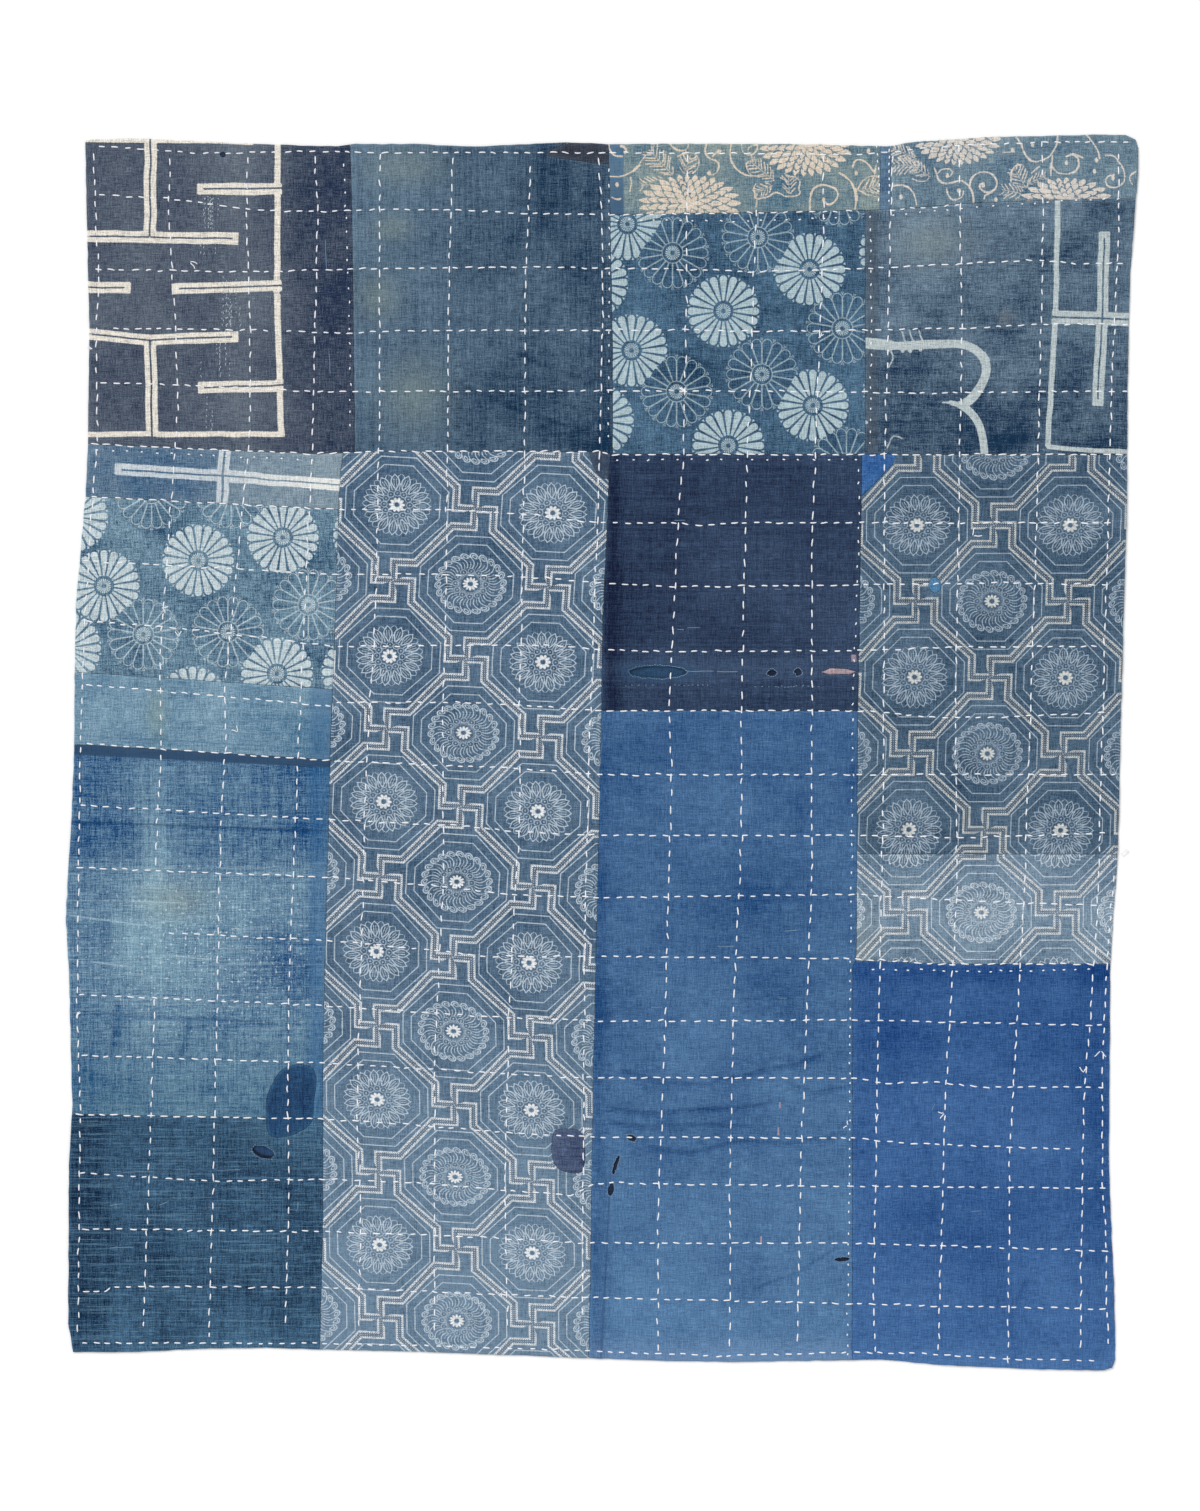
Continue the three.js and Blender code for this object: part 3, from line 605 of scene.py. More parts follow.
LEAVES_LEFT = (
    ((86, 704), (57, 735), 11), ((76, 697), (47, 690), 8), ((100, 704), (108, 728), 9),
    ((210, 697), (180, 721), 9), ((208, 691), (186, 681), 7), ((228, 681), (228, 704), 8),
    ((316, 684), (338, 692), 8),
)
LEAVES_RIGHT = (
    ((388, 716), (354, 716), 9), ((383, 724), (354, 737), 8), ((398, 702), (378, 717), 7),
    ((517, 688), (502, 713), 9), ((521, 694), (541, 703), 7), ((517, 680), (488, 686), 8),
)


def leaf_strokes(leaves):
    """A drawn leaf for each (foot, tip, half width): a midrib with slanting veins on both sides."""
    drawn = []
    chance = np.random.default_rng(31)
    for (ax, ay), (bx, by), half in leaves:
        length = math.dist((ax, ay), (bx, by))
        cx, cy = (bx - ax) / length, (by - ay) / length
        drawn.append((0.4, ((ax, ay), (bx, by))))
        count = max(4, round(length / 4.6))
        for k in range(count):
            for side in (-1, 1):
                run = (k + 0.3 + chance.normal(0, 0.12)) / count * length
                swell = math.sin(math.pi * (0.18 + 0.7 * (k + 0.5) / count))
                reach = half * swell * chance.uniform(0.8, 1.25) + 1.5
                near_rib = (ax + cx * run - cy * side * 1.7, ay + cy * run + cx * side * 1.7)
                out = run + reach * 0.8
                far = (ax + cx * out - cy * side * reach, ay + cy * out + cx * side * reach)
                bend = [(p + q) / 2 + chance.normal(0, 0.7) for p, q in zip(near_rib, far)]
                drawn.append((chance.uniform(0.5, 0.8), (near_rib, bend, far)))
    return drawn


def flower_head(x, y, centre, wide, tall, rings):
    """Signed distance to a full flower head of pointed petals, the inner rings lying over the outer ones.
    rings are (foot, reach, petals in a turn), as shares of the head's size."""
    u = (x - centre[0]) / wide
    v = (y - centre[1]) / tall
    rho = np.hypot(u, v)
    theta = np.arctan2(v, u)
    outward = np.hypot(wide * np.cos(theta), tall * np.sin(theta))
    sideways = 2 / (1 / np.hypot(wide * np.sin(theta), tall * np.cos(theta)) + 1 / outward)
    theta = (theta + np.arctan2(y - centre[1], x - centre[0])) / 2
    mark = np.full(np.shape(x), 60.0)
    hidden = np.zeros(np.shape(x), bool)
    for k, (foot, reach, count) in enumerate(rings):
        turn = theta * count / (2 * math.pi) + 0.5 * (k % 2) + 0.06 * math.sin(3 * k)
        across = np.abs(turn - np.round(turn)) * 2 * math.pi * rho * sideways / count
        along = np.clip((rho - foot) / (reach - foot), 0, 1)
        widest = math.pi * (foot + (reach - foot) * 0.6) * sideways / count * 0.8
        petal = across - widest * np.sin(math.pi * along ** 1.4) ** 0.85
        petal = np.maximum(petal, np.maximum(rho - reach, foot - rho) * outward)
        mark = np.where(hidden, mark, petal)
        hidden |= petal < 1.4
    outside = np.maximum(mark, (rho - rings[-1][1]) * outward)
    return np.where(hidden, mark, outside)


def vines(x, y, lines, buds, leaves, heads):
    """Signed distance to one strip's whole pattern."""
    x, y = x + 0.6 * soft_noise(x, y, 9, 13), y + 0.6 * soft_noise(x, y, 9, 14)
    mark = strokes(x, y, lines) + 0.4 * soft_noise(x, y, 8, 16) + 0.15
    mark = np.minimum(mark, strokes(x, y, leaf_strokes(leaves)))
    for a, b in buds:
        mark = np.minimum(mark, (np.hypot((x - a) / 2.1, (y - b) / 3.0) - 1) * 2.4)
    for head in heads:
        flower = flower_head(x, y, *head)
        u = np.hypot((x - head[0][0]) / head[1], (y - head[0][1]) / head[2])
        mark = np.where(u < 1.0, flower, np.minimum(mark, flower))
    return mark


def vines_left(x, y):
    rings = ((0.0, 0.28, 7), (0.08, 0.46, 12), (0.24, 0.64, 17), (0.4, 0.82, 22), (0.56, 1.0, 27))
    heads = (((107, 669), 63, 36, rings), ((248, 741), 57, 39, rings))
    return vines(x, y, VINES_LEFT, BUDS_LEFT, LEAVES_LEFT, heads)


def vines_right(x, y):
    rings = ((0.0, 0.28, 7), (0.08, 0.46, 12), (0.24, 0.64, 16), (0.4, 0.82, 21), (0.56, 1.0, 26))
    full = ((0.0, 0.34, 7), (0.12, 0.56, 12), (0.3, 0.78, 17), (0.52, 1.0, 22))
    heads = (((433, 748), 54, 32, rings), ((566, 674), 56, 27, full))
    return vines(x, y, VINES_RIGHT, BUDS_RIGHT, LEAVES_RIGHT, heads)


# Stencilled chrysanthemums: centres (x, y), with filled petals or outlined ones.
FLOWERS_FILLED = (
    (148, 538), (253, 589), (36, 490), (31, 644), (-12, 573), (-5, 405), (154, 374), (257, 423),
    (357, 610), (362, 441),
)
FLOWERS_OUTLINED = ((86, 609), (190, 628), (293, 517), (91, 440), (195, 461), (298, 352), (289, 686))
FADED_FLOWERS_FILLED = (
    (-492, 234), (-389, 262), (-607, 203), (-646, 288), (-654, 127), (-396, 96), (-499, 61), (-298, 98),
    (-284, 265),
)
FADED_FLOWERS_OUTLINED = ((-559, 144), (-456, 147), (-358, 180), (-549, 316), (-452, 317))


def nearest_flower(filled, outlined):
    """A function that gives, for each face, the centre of the nearest flower, and 1 where it is
    outlined."""
    centres = np.array(filled + outlined, float)
    kinds = np.array([0.0] * len(filled) + [1.0] * len(outlined))

    def reckon(x, y):
        away = np.hypot(x[:, None] - centres[None, :, 0], y[:, None] - centres[None, :, 1])
        pick = away.argmin(1)
        return centres[pick, 0], centres[pick, 1], kinds[pick]

    return reckon


# The octagon stencil: places of its pointed flowers down the left and the right of each width of cloth.
LATTICE_LEFT = (((-250, 302), (-60, 292)), ((-259, 117), (-72, 110)), ((-266, -60), (-78, -72)),
                ((-275, -243), (-89, -257)), ((-274, -423), (-86, -436)), ((-271, -600), (-85, -610)))
LATTICE_RIGHT = (((384, 277), (571, 277)), ((381, 92), (565, 91)), ((374, -94), (559, -95)))
LATTICE_LOW = (((371, -104), (556, -104)), ((369, -286), (554, -286)))


def stencil_place(stations):
    """A function that gives each point's place in the stencil's repeats, counted across and up."""
    pairs = np.array(stations, float)

    def reckon(x, y):
        u = np.zeros(len(x))
        v = np.zeros(len(x))
        for k in range(len(pairs) - 1):
            (upper_left, upper_right), (lower_left, lower_right) = pairs[k], pairs[k + 1]
            share = (x - upper_left[0]) / (upper_right[0] - upper_left[0])
            upper = upper_left[1] + share * (upper_right[1] - upper_left[1])
            lower = lower_left[1] + share * (lower_right[1] - lower_left[1])
            down = (upper - y) / (upper - lower)
            here = (down >= 0) if k else np.ones(len(x), bool)
            left = upper_left[0] + down * (lower_left[0] - upper_left[0])
            right = upper_right[0] + down * (lower_right[0] - upper_right[0])
            u = np.where(here, (x - left) / (right - left), u)
            v = np.where(here, -k - down, v)
        return u, v, np.zeros(len(x))

    return reckon


# ---------------------------------------------------------------- dyes and cottons

def ink(code):
    """A hex colour as the linear red, green, blue and alpha that a shader takes."""
    parts = [int(code[i:i + 2], 16) / 255 for i in (1, 3, 5)]
    return tuple(c / 12.92 if c <= 0.04045 else ((c + 0.055) / 1.055) ** 2.4 for c in parts) + (1.0,)


class Amount:
    """A number worked out all over a material. Sums on it add nodes, so each pattern reads as its own
    sum."""

    def __init__(self, socket):
        self.socket = socket

    def __add__(self, other):
        return node("ADD", self, other)

    def __sub__(self, other):
        return node("SUBTRACT", self, other)

    def __rsub__(self, other):
        return node("SUBTRACT", other, self)

    def __mul__(self, other):
        return node("MULTIPLY", self, other)

    def __truediv__(self, other):
        return node("DIVIDE", self, other)

    def __rtruediv__(self, other):
        return node("DIVIDE", other, self)

    def __abs__(self):
        return node("ABSOLUTE", self)

    def __neg__(self):
        return node("MULTIPLY", self, -1.0)

    __radd__ = __add__
    __rmul__ = __mul__


in_hand = {}


def node(kind, *feeds, out=0, **settings):
    """Adds one node to the material in hand, sets it up and feeds it. A kind in capitals is a sum for a
    Math node. Feeds go to the inputs in order, or are (name or number, value). Gives the named output,
    or the node for None."""
    if kind.isupper():
        settings["operation"], kind = kind, "Math"
    made = in_hand["tree"].nodes.new("ShaderNode" + kind)
    for key, value in settings.items():
        setattr(made, key, value)
    for place, feed in enumerate(feeds):
        if isinstance(feed, tuple) and len(feed) == 2:
            place, feed = feed
        if isinstance(feed, Amount):
            in_hand["tree"].links.new(feed.socket, made.inputs[place])
        else:
            made.inputs[place].default_value = feed
    if out is None:
        return made
    if isinstance(out, tuple):
        return tuple(Amount(made.outputs[o]) for o in out)
    return Amount(made.outputs[out])


def place_in_mm():
    """Where each point of the face lies on the object, in mm."""
    return node("VectorMath", node("TexCoord", out="Object"), (1 / MM,) * 3, operation="MULTIPLY")


def start_material(name):
    """A new empty material in hand, and the place on the object in mm."""
    material = bpy.data.materials.new(name)
    material.use_nodes = True
    in_hand["tree"] = material.node_tree
    material.node_tree.nodes.clear()
    return material, place_in_mm()


def painted(distance, blur=0.6):
    """1 inside a pattern's edge and 0 outside, from the signed distance in mm."""
    return node("SUBTRACT", 0.5, distance / blur, use_clamp=True)


def mottle(place, size, detail=3.0):
    """Soft random amounts about 0 that change over size mm, or over (across, along) mm."""
    across, along = size if isinstance(size, tuple) else (size, size)
    spot = node("VectorMath", place, (1 / across, 1 / along, 0.0), operation="MULTIPLY")
    noise = node("TexNoise", ("Vector", spot), ("Scale", 1.0), ("Detail", detail), noise_dimensions="2D")
    return noise - 0.5


def cotton(name, deep, worn, fade=None, patches=1.6, patch=100, yarn=1.0, slubs=0.12, motif=None,
           runs=(0.25, 0.25), rim=0.28, slub_run=46):
    """Hand-loomed cotton dyed in indigo: a dull, dry face on which single yarns show lighter and darker
    both ways, rubbed paler along its rim and in patches about patch mm across. deep and worn are its
    darkest and palest dye, fade(x, y) adds its own fading, and runs are how unevenly long runs of warp
    and of weft took the dye. The yarns are drawn 1.15 mm wide, as coarse as they need to be to show.
    motif(x, y) gives (amount, colour) pairs: stains, painted shade along folds, and what resist paste kept
    undyed."""
    material, place = start_material(name)
    x, y, _ = node("SeparateXYZ", place, out=(0, 1, 2))
    warp = mottle(place, (1.15, 13), 2.0)
    weft = mottle(place, (13, 1.15), 2.0)
    nub = mottle(place, 1.5, 1.0)
    grain = (warp + weft + nub * 0.9) * yarn
    cloud = mottle(place, patch, 4.0) * patches + mottle(place, patch / 5, 3.0) * (patches * 0.3)
    rub = mottle(place, (patch / 2.5, 7), 3.0) * (patches * 0.35)
    long_runs = mottle(place, (2.6, 150), 2.0) * runs[0] + mottle(place, (150, 2.6), 2.0) * runs[1]
    shade = cloud + rub + long_runs + grain + 0.5
    if fade:
        shade = shade + fade(x, y)
    edge = node("Attribute", attribute_name="edge", out="Fac")
    # Painted shade: the face is drawn darker in the lee of each crease.
    crease_shade = node("Attribute", attribute_name="crease_shade", out="Fac")
    shade = shade + node("POWER", 2.718, edge * -0.55) * rim - crease_shade * 0.24
    shade = node("MAXIMUM", node("MINIMUM", shade, 1.35), -0.22)
    colour = node("Mix", shade, (6, ink(deep)), (7, ink(worn)), out=2, data_type="RGBA", clamp_factor=False)
    long_slub = painted(0.20 - mottle(place, (slub_run, 1.3), 1.0), 0.12)
    value = grain * 0.5 + long_slub * slubs + 1.0
    for amount, resist in motif(x, y) if motif else ():
        rubbed = node("ADD", amount * 0.94, amount * (grain * 0.55), use_clamp=True)
        colour = node("Mix", rubbed, (6, colour), (7, ink(resist)), out=2, data_type="RGBA")
    colour = node("HueSaturation", ("Value", value), ("Color", colour))
    relief = node("Bump", ("Strength", 0.55), ("Distance", 0.35 * MM), ("Height", grain * 2.0 + 0.5), out=0)
    face = node("BsdfPrincipled", ("Base Color", colour), ("Roughness", 0.93), ("Specular IOR Level", 0.12),
                ("IOR", 1.45), ("Sheen Weight", 0.06), ("Sheen Roughness", 0.5), ("Normal", relief))
    node("OutputMaterial", face, out=None)
    return material


def from_attribute(attribute):
    """The painted amount of a pattern that the mesh carries as a signed distance, its edge a little
    bled."""
    distance = node("Attribute", attribute_name=attribute, out="Fac")
    return painted(distance + mottle(place_in_mm(), 2.4, 2.0), 0.8)


def polar(dx, dy):
    """Distance from the middle and angle round it."""
    return node("SQRT", dx * dx + dy * dy), node("ARCTAN2", dy, dx)


def sector(turn, count):
    """Angle from the middle of the nearest of count equal sectors."""
    share = turn * (count / (2 * math.pi))
    return (share - node("ROUND", share)) * (2 * math.pi / count)


def chrysanthemum_stencil():
    """Round chrysanthemums 86 mm across: twenty filled petals or eighteen outlined ones, and a ring of
    threads."""
    x, y, _ = node("SeparateXYZ", place_in_mm(), out=(0, 1, 2))
    middle = node("Attribute", attribute_name="flower", out="Vector")
    fx, fy, outlined = node("SeparateXYZ", middle, out=(0, 1, 2))
    radius, turn = polar(x - fx, y - fy)
    count = 20.0 - outlined * 2.0
    half = math.pi / count
    share = turn * count / (2 * math.pi)
    lean = (share - node("ROUND", share)) * half * 2.0
    px = radius * node("COSINE", lean)
    py = abs(radius * node("SINE", lean))
    side = py * node("COSINE", half) - px * node("SINE", half)
    margin = (px * 0.03 + 0.45) * (1.0 - outlined) + outlined * 0.3
    off = px - 39.0 + outlined * 1.8
    cap = node("SQRT", off * off + py * py) - 4.5 - outlined * 1.4
    spoke = node("MAXIMUM", node("MAXIMUM", side + margin, off), 12.6 - radius)
    petal = node("MINIMUM", spoke, cap)
    notch = node("MAXIMUM", node("MAXIMUM", -side - (radius - 41.0) * 0.45, radius - 44.2), 1.4 - cap)
    whole = painted(node("MINIMUM", petal, notch), 0.7)
    line = painted(node("MINIMUM", abs(petal) - 0.5, abs(notch) - 0.35), 0.8) * 0.72
    amount = whole + outlined * (line - whole)
    rays = painted(node("MAXIMUM", abs(radius - 5.9) - 3.0, -0.3 - node("SINE", turn * 20.0)), 0.9) * 0.9
    return node("MAXIMUM", amount, rays)


# The octagon stencil in mm: its repeat, the keys' arms and how far they run after their turn, how many
# degrees they lean, and the beat of the feathers.
REPEAT = 187.5
KEY_ARM = 23.0
KEY_RUN = 26.0
KEY_LEAN = 24
FEATHER = 2.7


def stitched_rope(s, t):
    """The feathered rope, from the middle of the nearest key: arms that turn, run on and then slant
    off. Gives the amounts of its two stitched lines, of the dots down its middle and of the shade
    inside it."""
    p = node("FRACT", s) - 0.5
    q = node("FRACT", t) - 0.5
    x = (p + q) * (REPEAT / 2)
    y = (p - q) * (REPEAT / 2)
    cos, sin = math.cos(math.radians(KEY_LEAN)), math.sin(math.radians(KEY_LEAN))
    xt = x * cos - y * sin
    yt = x * sin + y * cos
    swap = node("GREATER_THAN", abs(yt), abs(xt))
    xs = xt + swap * (yt - xt)
    ys = yt + swap * (-xt - yt)
    sign = node("SIGN", xs)
    xs = xs * sign
    ys = ys * sign
    x = xs * cos + ys * sin
    y = ys * cos - xs * sin
    slant = (x - KEY_ARM) * 0.658 + (y + KEY_RUN) * 0.753
    turned = node("MINIMUM", x - KEY_ARM, slant)
    off = node("MAXIMUM", y, turned)
    on_arm = node("GREATER_THAN", y, turned)
    on_run = node("LESS_THAN", x - KEY_ARM, slant)
    slanting = x * 0.753 - y * 0.658
    along = slanting + on_run * (-y - slanting)
    along = along + on_arm * (x - along)
    away = abs(off)
    beat = node("SINE", (along + away * 0.9) * (2 * math.pi / FEATHER))
    ticks = node("MAXIMUM", abs(away - 3.2) - 1.2, -0.25 - beat)
    rope = node("MAXIMUM", painted(abs(away - 4.2) - 0.62, 0.8) * 0.72, painted(ticks, 0.8))
    dots = painted(node("MAXIMUM", away - 0.6, -0.1 - node("SINE", along * (2 * math.pi / FEATHER))), 0.8)
    shade = painted(away - 3.4, 1.0)
    return rope, dots, shade


def pointed_flower(radius, turn):
    """Signed distance to fifteen long petals with two veins each, and the tips of fifteen more behind
    them."""
    reach = node("DIVIDE", radius - 18.5, 22.0, use_clamp=True)
    across = abs(radius * sector(turn, 15))
    petal = across - node("SINE", node("POWER", reach, 1.4) * math.pi) * 4.9
    veins = node("MAXIMUM", node("MAXIMUM", abs(across - 1.4) - 0.35, petal + 1.5), radius - 35.0)
    reach = node("DIVIDE", radius - 25.0, 16.5, use_clamp=True)
    behind = abs(radius * sector(turn + math.pi / 15, 15)) - node("SINE", reach * reach * math.pi) * 3.9
    behind = node("MAXIMUM", abs(behind) - 0.5, 0.7 - petal)
    pointed = node("MINIMUM", node("MINIMUM", abs(petal) - 0.74, veins), behind)
    return node("MAXIMUM", pointed, node("MAXIMUM", radius - 41.2, 20.0 - radius))


def curled_flower(radius, turn):
    """Signed distance to twenty-two hooked petals drawn as curling strands."""
    turned = turn + node("SINE", (radius - 20.0) * 0.2) * 0.11
    lean = sector(turned, 22) * radius
    curl = radius - 38.6
    curl = node("SQRT", curl * curl + lean * lean)
    hook = node("MAXIMUM", abs(curl - 4.7) - 0.72, 37.0 - radius)
    between = abs(sector(turned + math.pi / 22, 22) * radius)
    strands = node("MAXIMUM", between - 0.6, node("MAXIMUM", 22.5 - radius, radius - 37.5))
    inner = node("MAXIMUM", abs(lean) - 0.36, node("MAXIMUM", 22.5 - radius, radius - 31.5))
    return node("MINIMUM", node("MINIMUM", hook, abs(curl - 2.3) - 0.56), node("MINIMUM", strands, inner))


def flower_middle(radius, turn, odd):
    """Amounts of a row of twelve scallops, of the haze inside it on odd flowers, and of a heart of
    petals."""
    lean = sector(turn, 12) * radius
    bead = radius - 15.6 - odd * 2.6
    bead = node("SQRT", bead * bead + lean * lean)
    scallop = painted(node("MINIMUM", abs(bead - 3.8) - 0.42, bead - 0.9), 0.8) * 0.8
    rays = node("MAXIMUM", abs(radius - 14.0) - 2.2, -0.1 - node("SINE", turn * 40.0))
    haze = painted(rays, 1.2) * odd * 0.5
    count = 10.0 + odd * 2.0
    share = turn * count / (2 * math.pi)
    lean = (share - node("ROUND", share)) * radius * (2 * math.pi) / count / (1.95 - odd * 0.5)
    bead = (radius - 6.4) / 3.2
    heart = painted((node("SQRT", bead * bead + lean * lean) - 1.0) * 1.8, 0.7)
    return scallop, haze, heart


def octagon_stencil():
    """Flowers inside double octagons, with a feathered rope between them that hooks into a four-armed
    key at each crossing. Gives the amounts of shade inside the rope, of fine lines and of bold
    marks."""
    u, v, _ = node("SeparateXYZ", node("Attribute", attribute_name="stencil", out="Vector"), out=(0, 1, 2))
    s = u + v
    t = u - v
    rope, dots, shade = stitched_rope(s, t)
    whole_s = node("FLOOR", s + 0.5)
    whole_t = node("FLOOR", t + 0.5)
    odd = node("FRACT", (whole_s + whole_t) * 0.5) * 2.0
    s = s - whole_s
    t = t - whole_t
    x = (s + t) * (REPEAT / 2)
    y = (s - t) * (REPEAT / 2)
    ax = abs(x)
    ay = abs(y)
    ring = node("MAXIMUM", node("MAXIMUM", ax - 61.6, ay - 59.0), (ax + ay) * 0.7071 - 56.8)
    octagon = painted(node("MINIMUM", abs(ring), abs(ring + 10.0)) - 0.55, 0.8)
    radius, turn = polar(x, y * (1.08 + odd * 0.06))
    pointed = pointed_flower(radius, turn)
    curled = curled_flower(radius, turn)
    flower = painted(pointed + odd * (curled - pointed), 0.8)
    scallop, haze, heart = flower_middle(radius, turn, odd)
    fine = node("MAXIMUM", node("MAXIMUM", octagon, flower), node("MAXIMUM", scallop, haze))
    bold = node("MAXIMUM", node("MAXIMUM", rope, dots * 0.45), heart)
    return shade, fine, bold


def slope(start, stop):
    """A fade that grows from 0 at start to 1 at stop, in mm. A sum of x or y goes in."""
    return lambda along: node("DIVIDE", along - start, stop - start, use_clamp=True)


def near(along, middle, half):
    """1 at middle, falling smoothly to nothing about half mm away."""
    off = (along - middle) / half
    return node("POWER", 2.718, -(off * off))


def blot(x, y, middle_x, middle_y, wide, tall):
    """A soft patch: 1 in its middle, nothing about wide or tall mm away."""
    return near(x, middle_x, wide) * near(y, middle_y, tall)


def resist(attribute, colour, stains=lambda x, y: ()):
    """A motif that the mesh carries as a signed distance, over any stains."""
    return lambda x, y: (*stains(x, y), (from_attribute(attribute), colour))


def chrysanthemums(colour):
    return lambda x, y: ((chrysanthemum_stencil(), colour),)


def octagons(fine_colour, bold_colour, strength=1.0, stains=lambda x, y: ()):
    def motif(x, y):
        shade, fine, bold = octagon_stencil()
        return (*stains(x, y), (shade * 0.3, "#2d3c52"), (fine * strength, fine_colour),
                (bold * strength, bold_colour))
    return motif


def yellowed_edge(x, y):
    """The low left corner has gone a dull yellowish grey."""
    return ((slope(350, 318)(x) * slope(-170, -230)(y) * 0.4, "#87938f"),)


def fade_navy_fret(x, y):
    return near(x, -440, 22) * 0.25 - slope(-400, -330)(x) * 0.45


def fade_faded_blue(x, y):
    return (slope(-60, -310)(x) * 0.25 + slope(420, 700)(y) * slope(-170, -310)(x) * 0.25
            - slope(-160, 0)(x) * 0.25 - slope(520, 380)(y) * slope(-200, -60)(x) * 0.25)


def greenish_stains_and_fold_shade(x, y):
    """Dull greenish marks, and painted shade along a crease beside the top."""
    marks = (blot(x, y, -242, 714, 45, 22) + blot(x, y, -256, 640, 24, 16) + blot(x, y, -272, 555, 25, 26)
             + blot(x, y, -228, 436, 38, 41))
    # Painted shade: a dark line along the crease near the top.
    fold_line_shade = near(y + x * 0.042, 668.4, 0.8) * slope(-116, -108)(x)
    return (marks * 0.52, "#7d8d8b"), (fold_line_shade * 0.6, "#2f4459")


def blue_hem(x, y):
    """The strip's left end kept its blue where another cloth once covered it."""
    hem = slope(27.5, 25.5)(x)
    return (hem * 0.8, "#47698a"), (hem * slope(705, 668)(y) * 0.6, "#35516d")


def fade_blue_fret(x, y):
    return near(y, 620, 45) * near(x, 395, 60) * 0.25 - slope(520, 400)(y) * 0.4


def dull_stains(x, y):
    return ((blot(x, y, 400, 622, 44, 28) * 0.6, "#7f8c90"), (blot(x, y, 492, 530, 9, 9) * 0.45, "#7a8084"),
            (slope(338, 334)(x) * 0.45, "#4a5059"))


def fade_cross_bar(x, y):
    return slope(-520, -340)(x) * 0.85 - 0.25


def two_pastes(x, y):
    """The cross in resist, whiter towards the worn right end."""
    bar = from_attribute("fret")
    return (bar, "#c3ccd2"), (bar * slope(-470, -340)(x), "#e3e4e0")


def green_stain(x, y):
    """A greenish mark, the bluer selvedge down the right, and a dark yarn or two above the lower seam."""
    dark = near(y + x * 0.055, -14.5, 0.9) + near(y + x * 0.06, -22, 0.9) * 0.7
    return ((blot(x, y, -542, 48, 13, 34) * 0.45, "#83988f"), (slope(-362, -352)(x) * 0.6, "#41698f"),
            (dark * 0.45, "#3f6485"))


def fade_streaked(x, y):
    return (blot(x, y, -545, -120, 20, 75) * 0.5 + blot(x, y, -545, -235, 45, 50) * 0.28
            - slope(-150, -120)(y) * 0.3 - slope(-575, -620)(x) * 0.2 - blot(x, y, -400, -262, 48, 46) * 0.3
            - slope(-430, -350)(x) * 0.15 - slope(-270, -400)(y) * 0.26 + 0.05)


def streaks_and_crease_shade(x, y):
    """A dark stripe under the seam, painted shade along its creases, a dull stain, pale streaks and flecks,
    and a blue selvedge."""
    stripe = painted(abs(y + x * 0.061 + 34.0) - (1.8 - x * 0.0096), 1.8)
    # Painted shade: a dark line along the crease near the top.
    crease_shade = near(y + x * 0.0377, -108.5, 1.1)
    thin = (near(y + x * 0.135, -286, 1.1) * slope(-654, -645)(x) * slope(-530, -540)(x)
            + near(y + x * 0.13, -336, 1.1) * slope(-626, -618)(x) * slope(-568, -578)(x)
            + near(y + x * 0.04, -204, 1.0) * slope(-590, -570)(x) * slope(-500, -520)(x)
            + near(y + x * 0.1, -300, 1.0) * slope(-540, -520)(x) * slope(-470, -480)(x))
    stain = blot(x, y, -520, -180, 40, 22)
    pale = near(mottle_along(x, y - x * 0.02), 0.2, 0.06) * slope(-118, -140)(y) * slope(-420, -300)(y)
    # Painted shade: a dark line along the crease low on the left.
    dark = near(y + x * 0.09, -372, 2.2) * slope(-640, -600)(x) * slope(-400, -470)(x)
    # Painted shade: dark lines along the three short upright creases.
    painted_fold_shade = (near(x - y * 0.05, -571, 2.2) * slope(-304, -318)(y) * slope(-378, -366)(y)
             + near(x - y * 0.26, -417, 2.2) * slope(-318, -330)(y) * slope(-374, -362)(y)
             + near(x, -457, 2.0) * slope(-326, -336)(y) * slope(-380, -368)(y) * 0.6)
    specks = painted(0.29 - mottle(node("CombineXYZ", x, y, 0.0), 3.8, 0.0), 0.08)
    specks = specks * blot(x, y, -490, -240, 140, 105)
    return ((stain * 0.4, "#919c90"), (pale * 0.3, "#a9c0cb"), (thin * 0.6, "#a6bfcc"),
            (specks * 0.8, "#c4d3d8"), (dark * 0.4, "#4a6c90"), (painted_fold_shade * 0.45, "#3c6282"),
            (slope(-300, -430)(y) * 0.3, "#4f7684"), (slope(-362, -352)(x) * 0.5, "#386590"),
            (stripe * 0.95, "#2c4663"), (crease_shade * 0.55, "#2c4763"))


def mottle_along(x, y):
    """Random amounts about 0 that hardly change along the weft: yarns that took the dye unevenly."""
    return mottle(node("CombineXYZ", x, y, 0.0), (120, 2.6), 2.0)


def fade_slub_blue(x, y):
    return slope(-660, -720)(y) * 0.3 - slope(-590, -630)(x) * 0.35 - 0.08


def slub_streaks(x, y):
    """Single weft yarns that took less dye, and a rubbed place under the arched mend."""
    pale = painted(0.13 - mottle(node("CombineXYZ", x, y, 0.0), (95, 2.2), 1.0), 0.1)
    return (pale * 0.45, "#5a7e96"), (blot(x, y, -405, -462, 34, 17) * 0.4, "#54788f")


def fade_mid_blue(x, y):
    return (slope(-300, -640)(y) * 0.4 + slope(-712, -742)(y) * 0.4 - slope(-150, 0)(y) * 0.1
            - near(x, -8, 14) * 0.45)


def fade_bright_blue(x, y):
    return (slope(-450, -700)(y) * 0.3 + slope(-712, -742)(y) * 0.35 - near(x, 598, 26) * 0.25
            - slope(-290, -272)(y) * 0.3)


def fade_faded_lattice(x, y):
    return slope(-120, -190)(y) * 0.42 - slope(-205, -255)(y) * 0.2 - 0.08


def bottom_bloom_and_fold_shade(x, y):
    """A greyish bloom along the bottom edge, and painted shade along a fold down the left."""
    bloom = slope(-705, -745)(y)
    # Painted shade: a dark line where the cloth is folded down the left.
    fold_line_shade = near(x - y * 0.05, 36, 1.3) * slope(-500, -530)(y)
    return (bloom * 0.35, "#7c8fb2"), (fold_line_shade * 0.5, "#1f3a62")


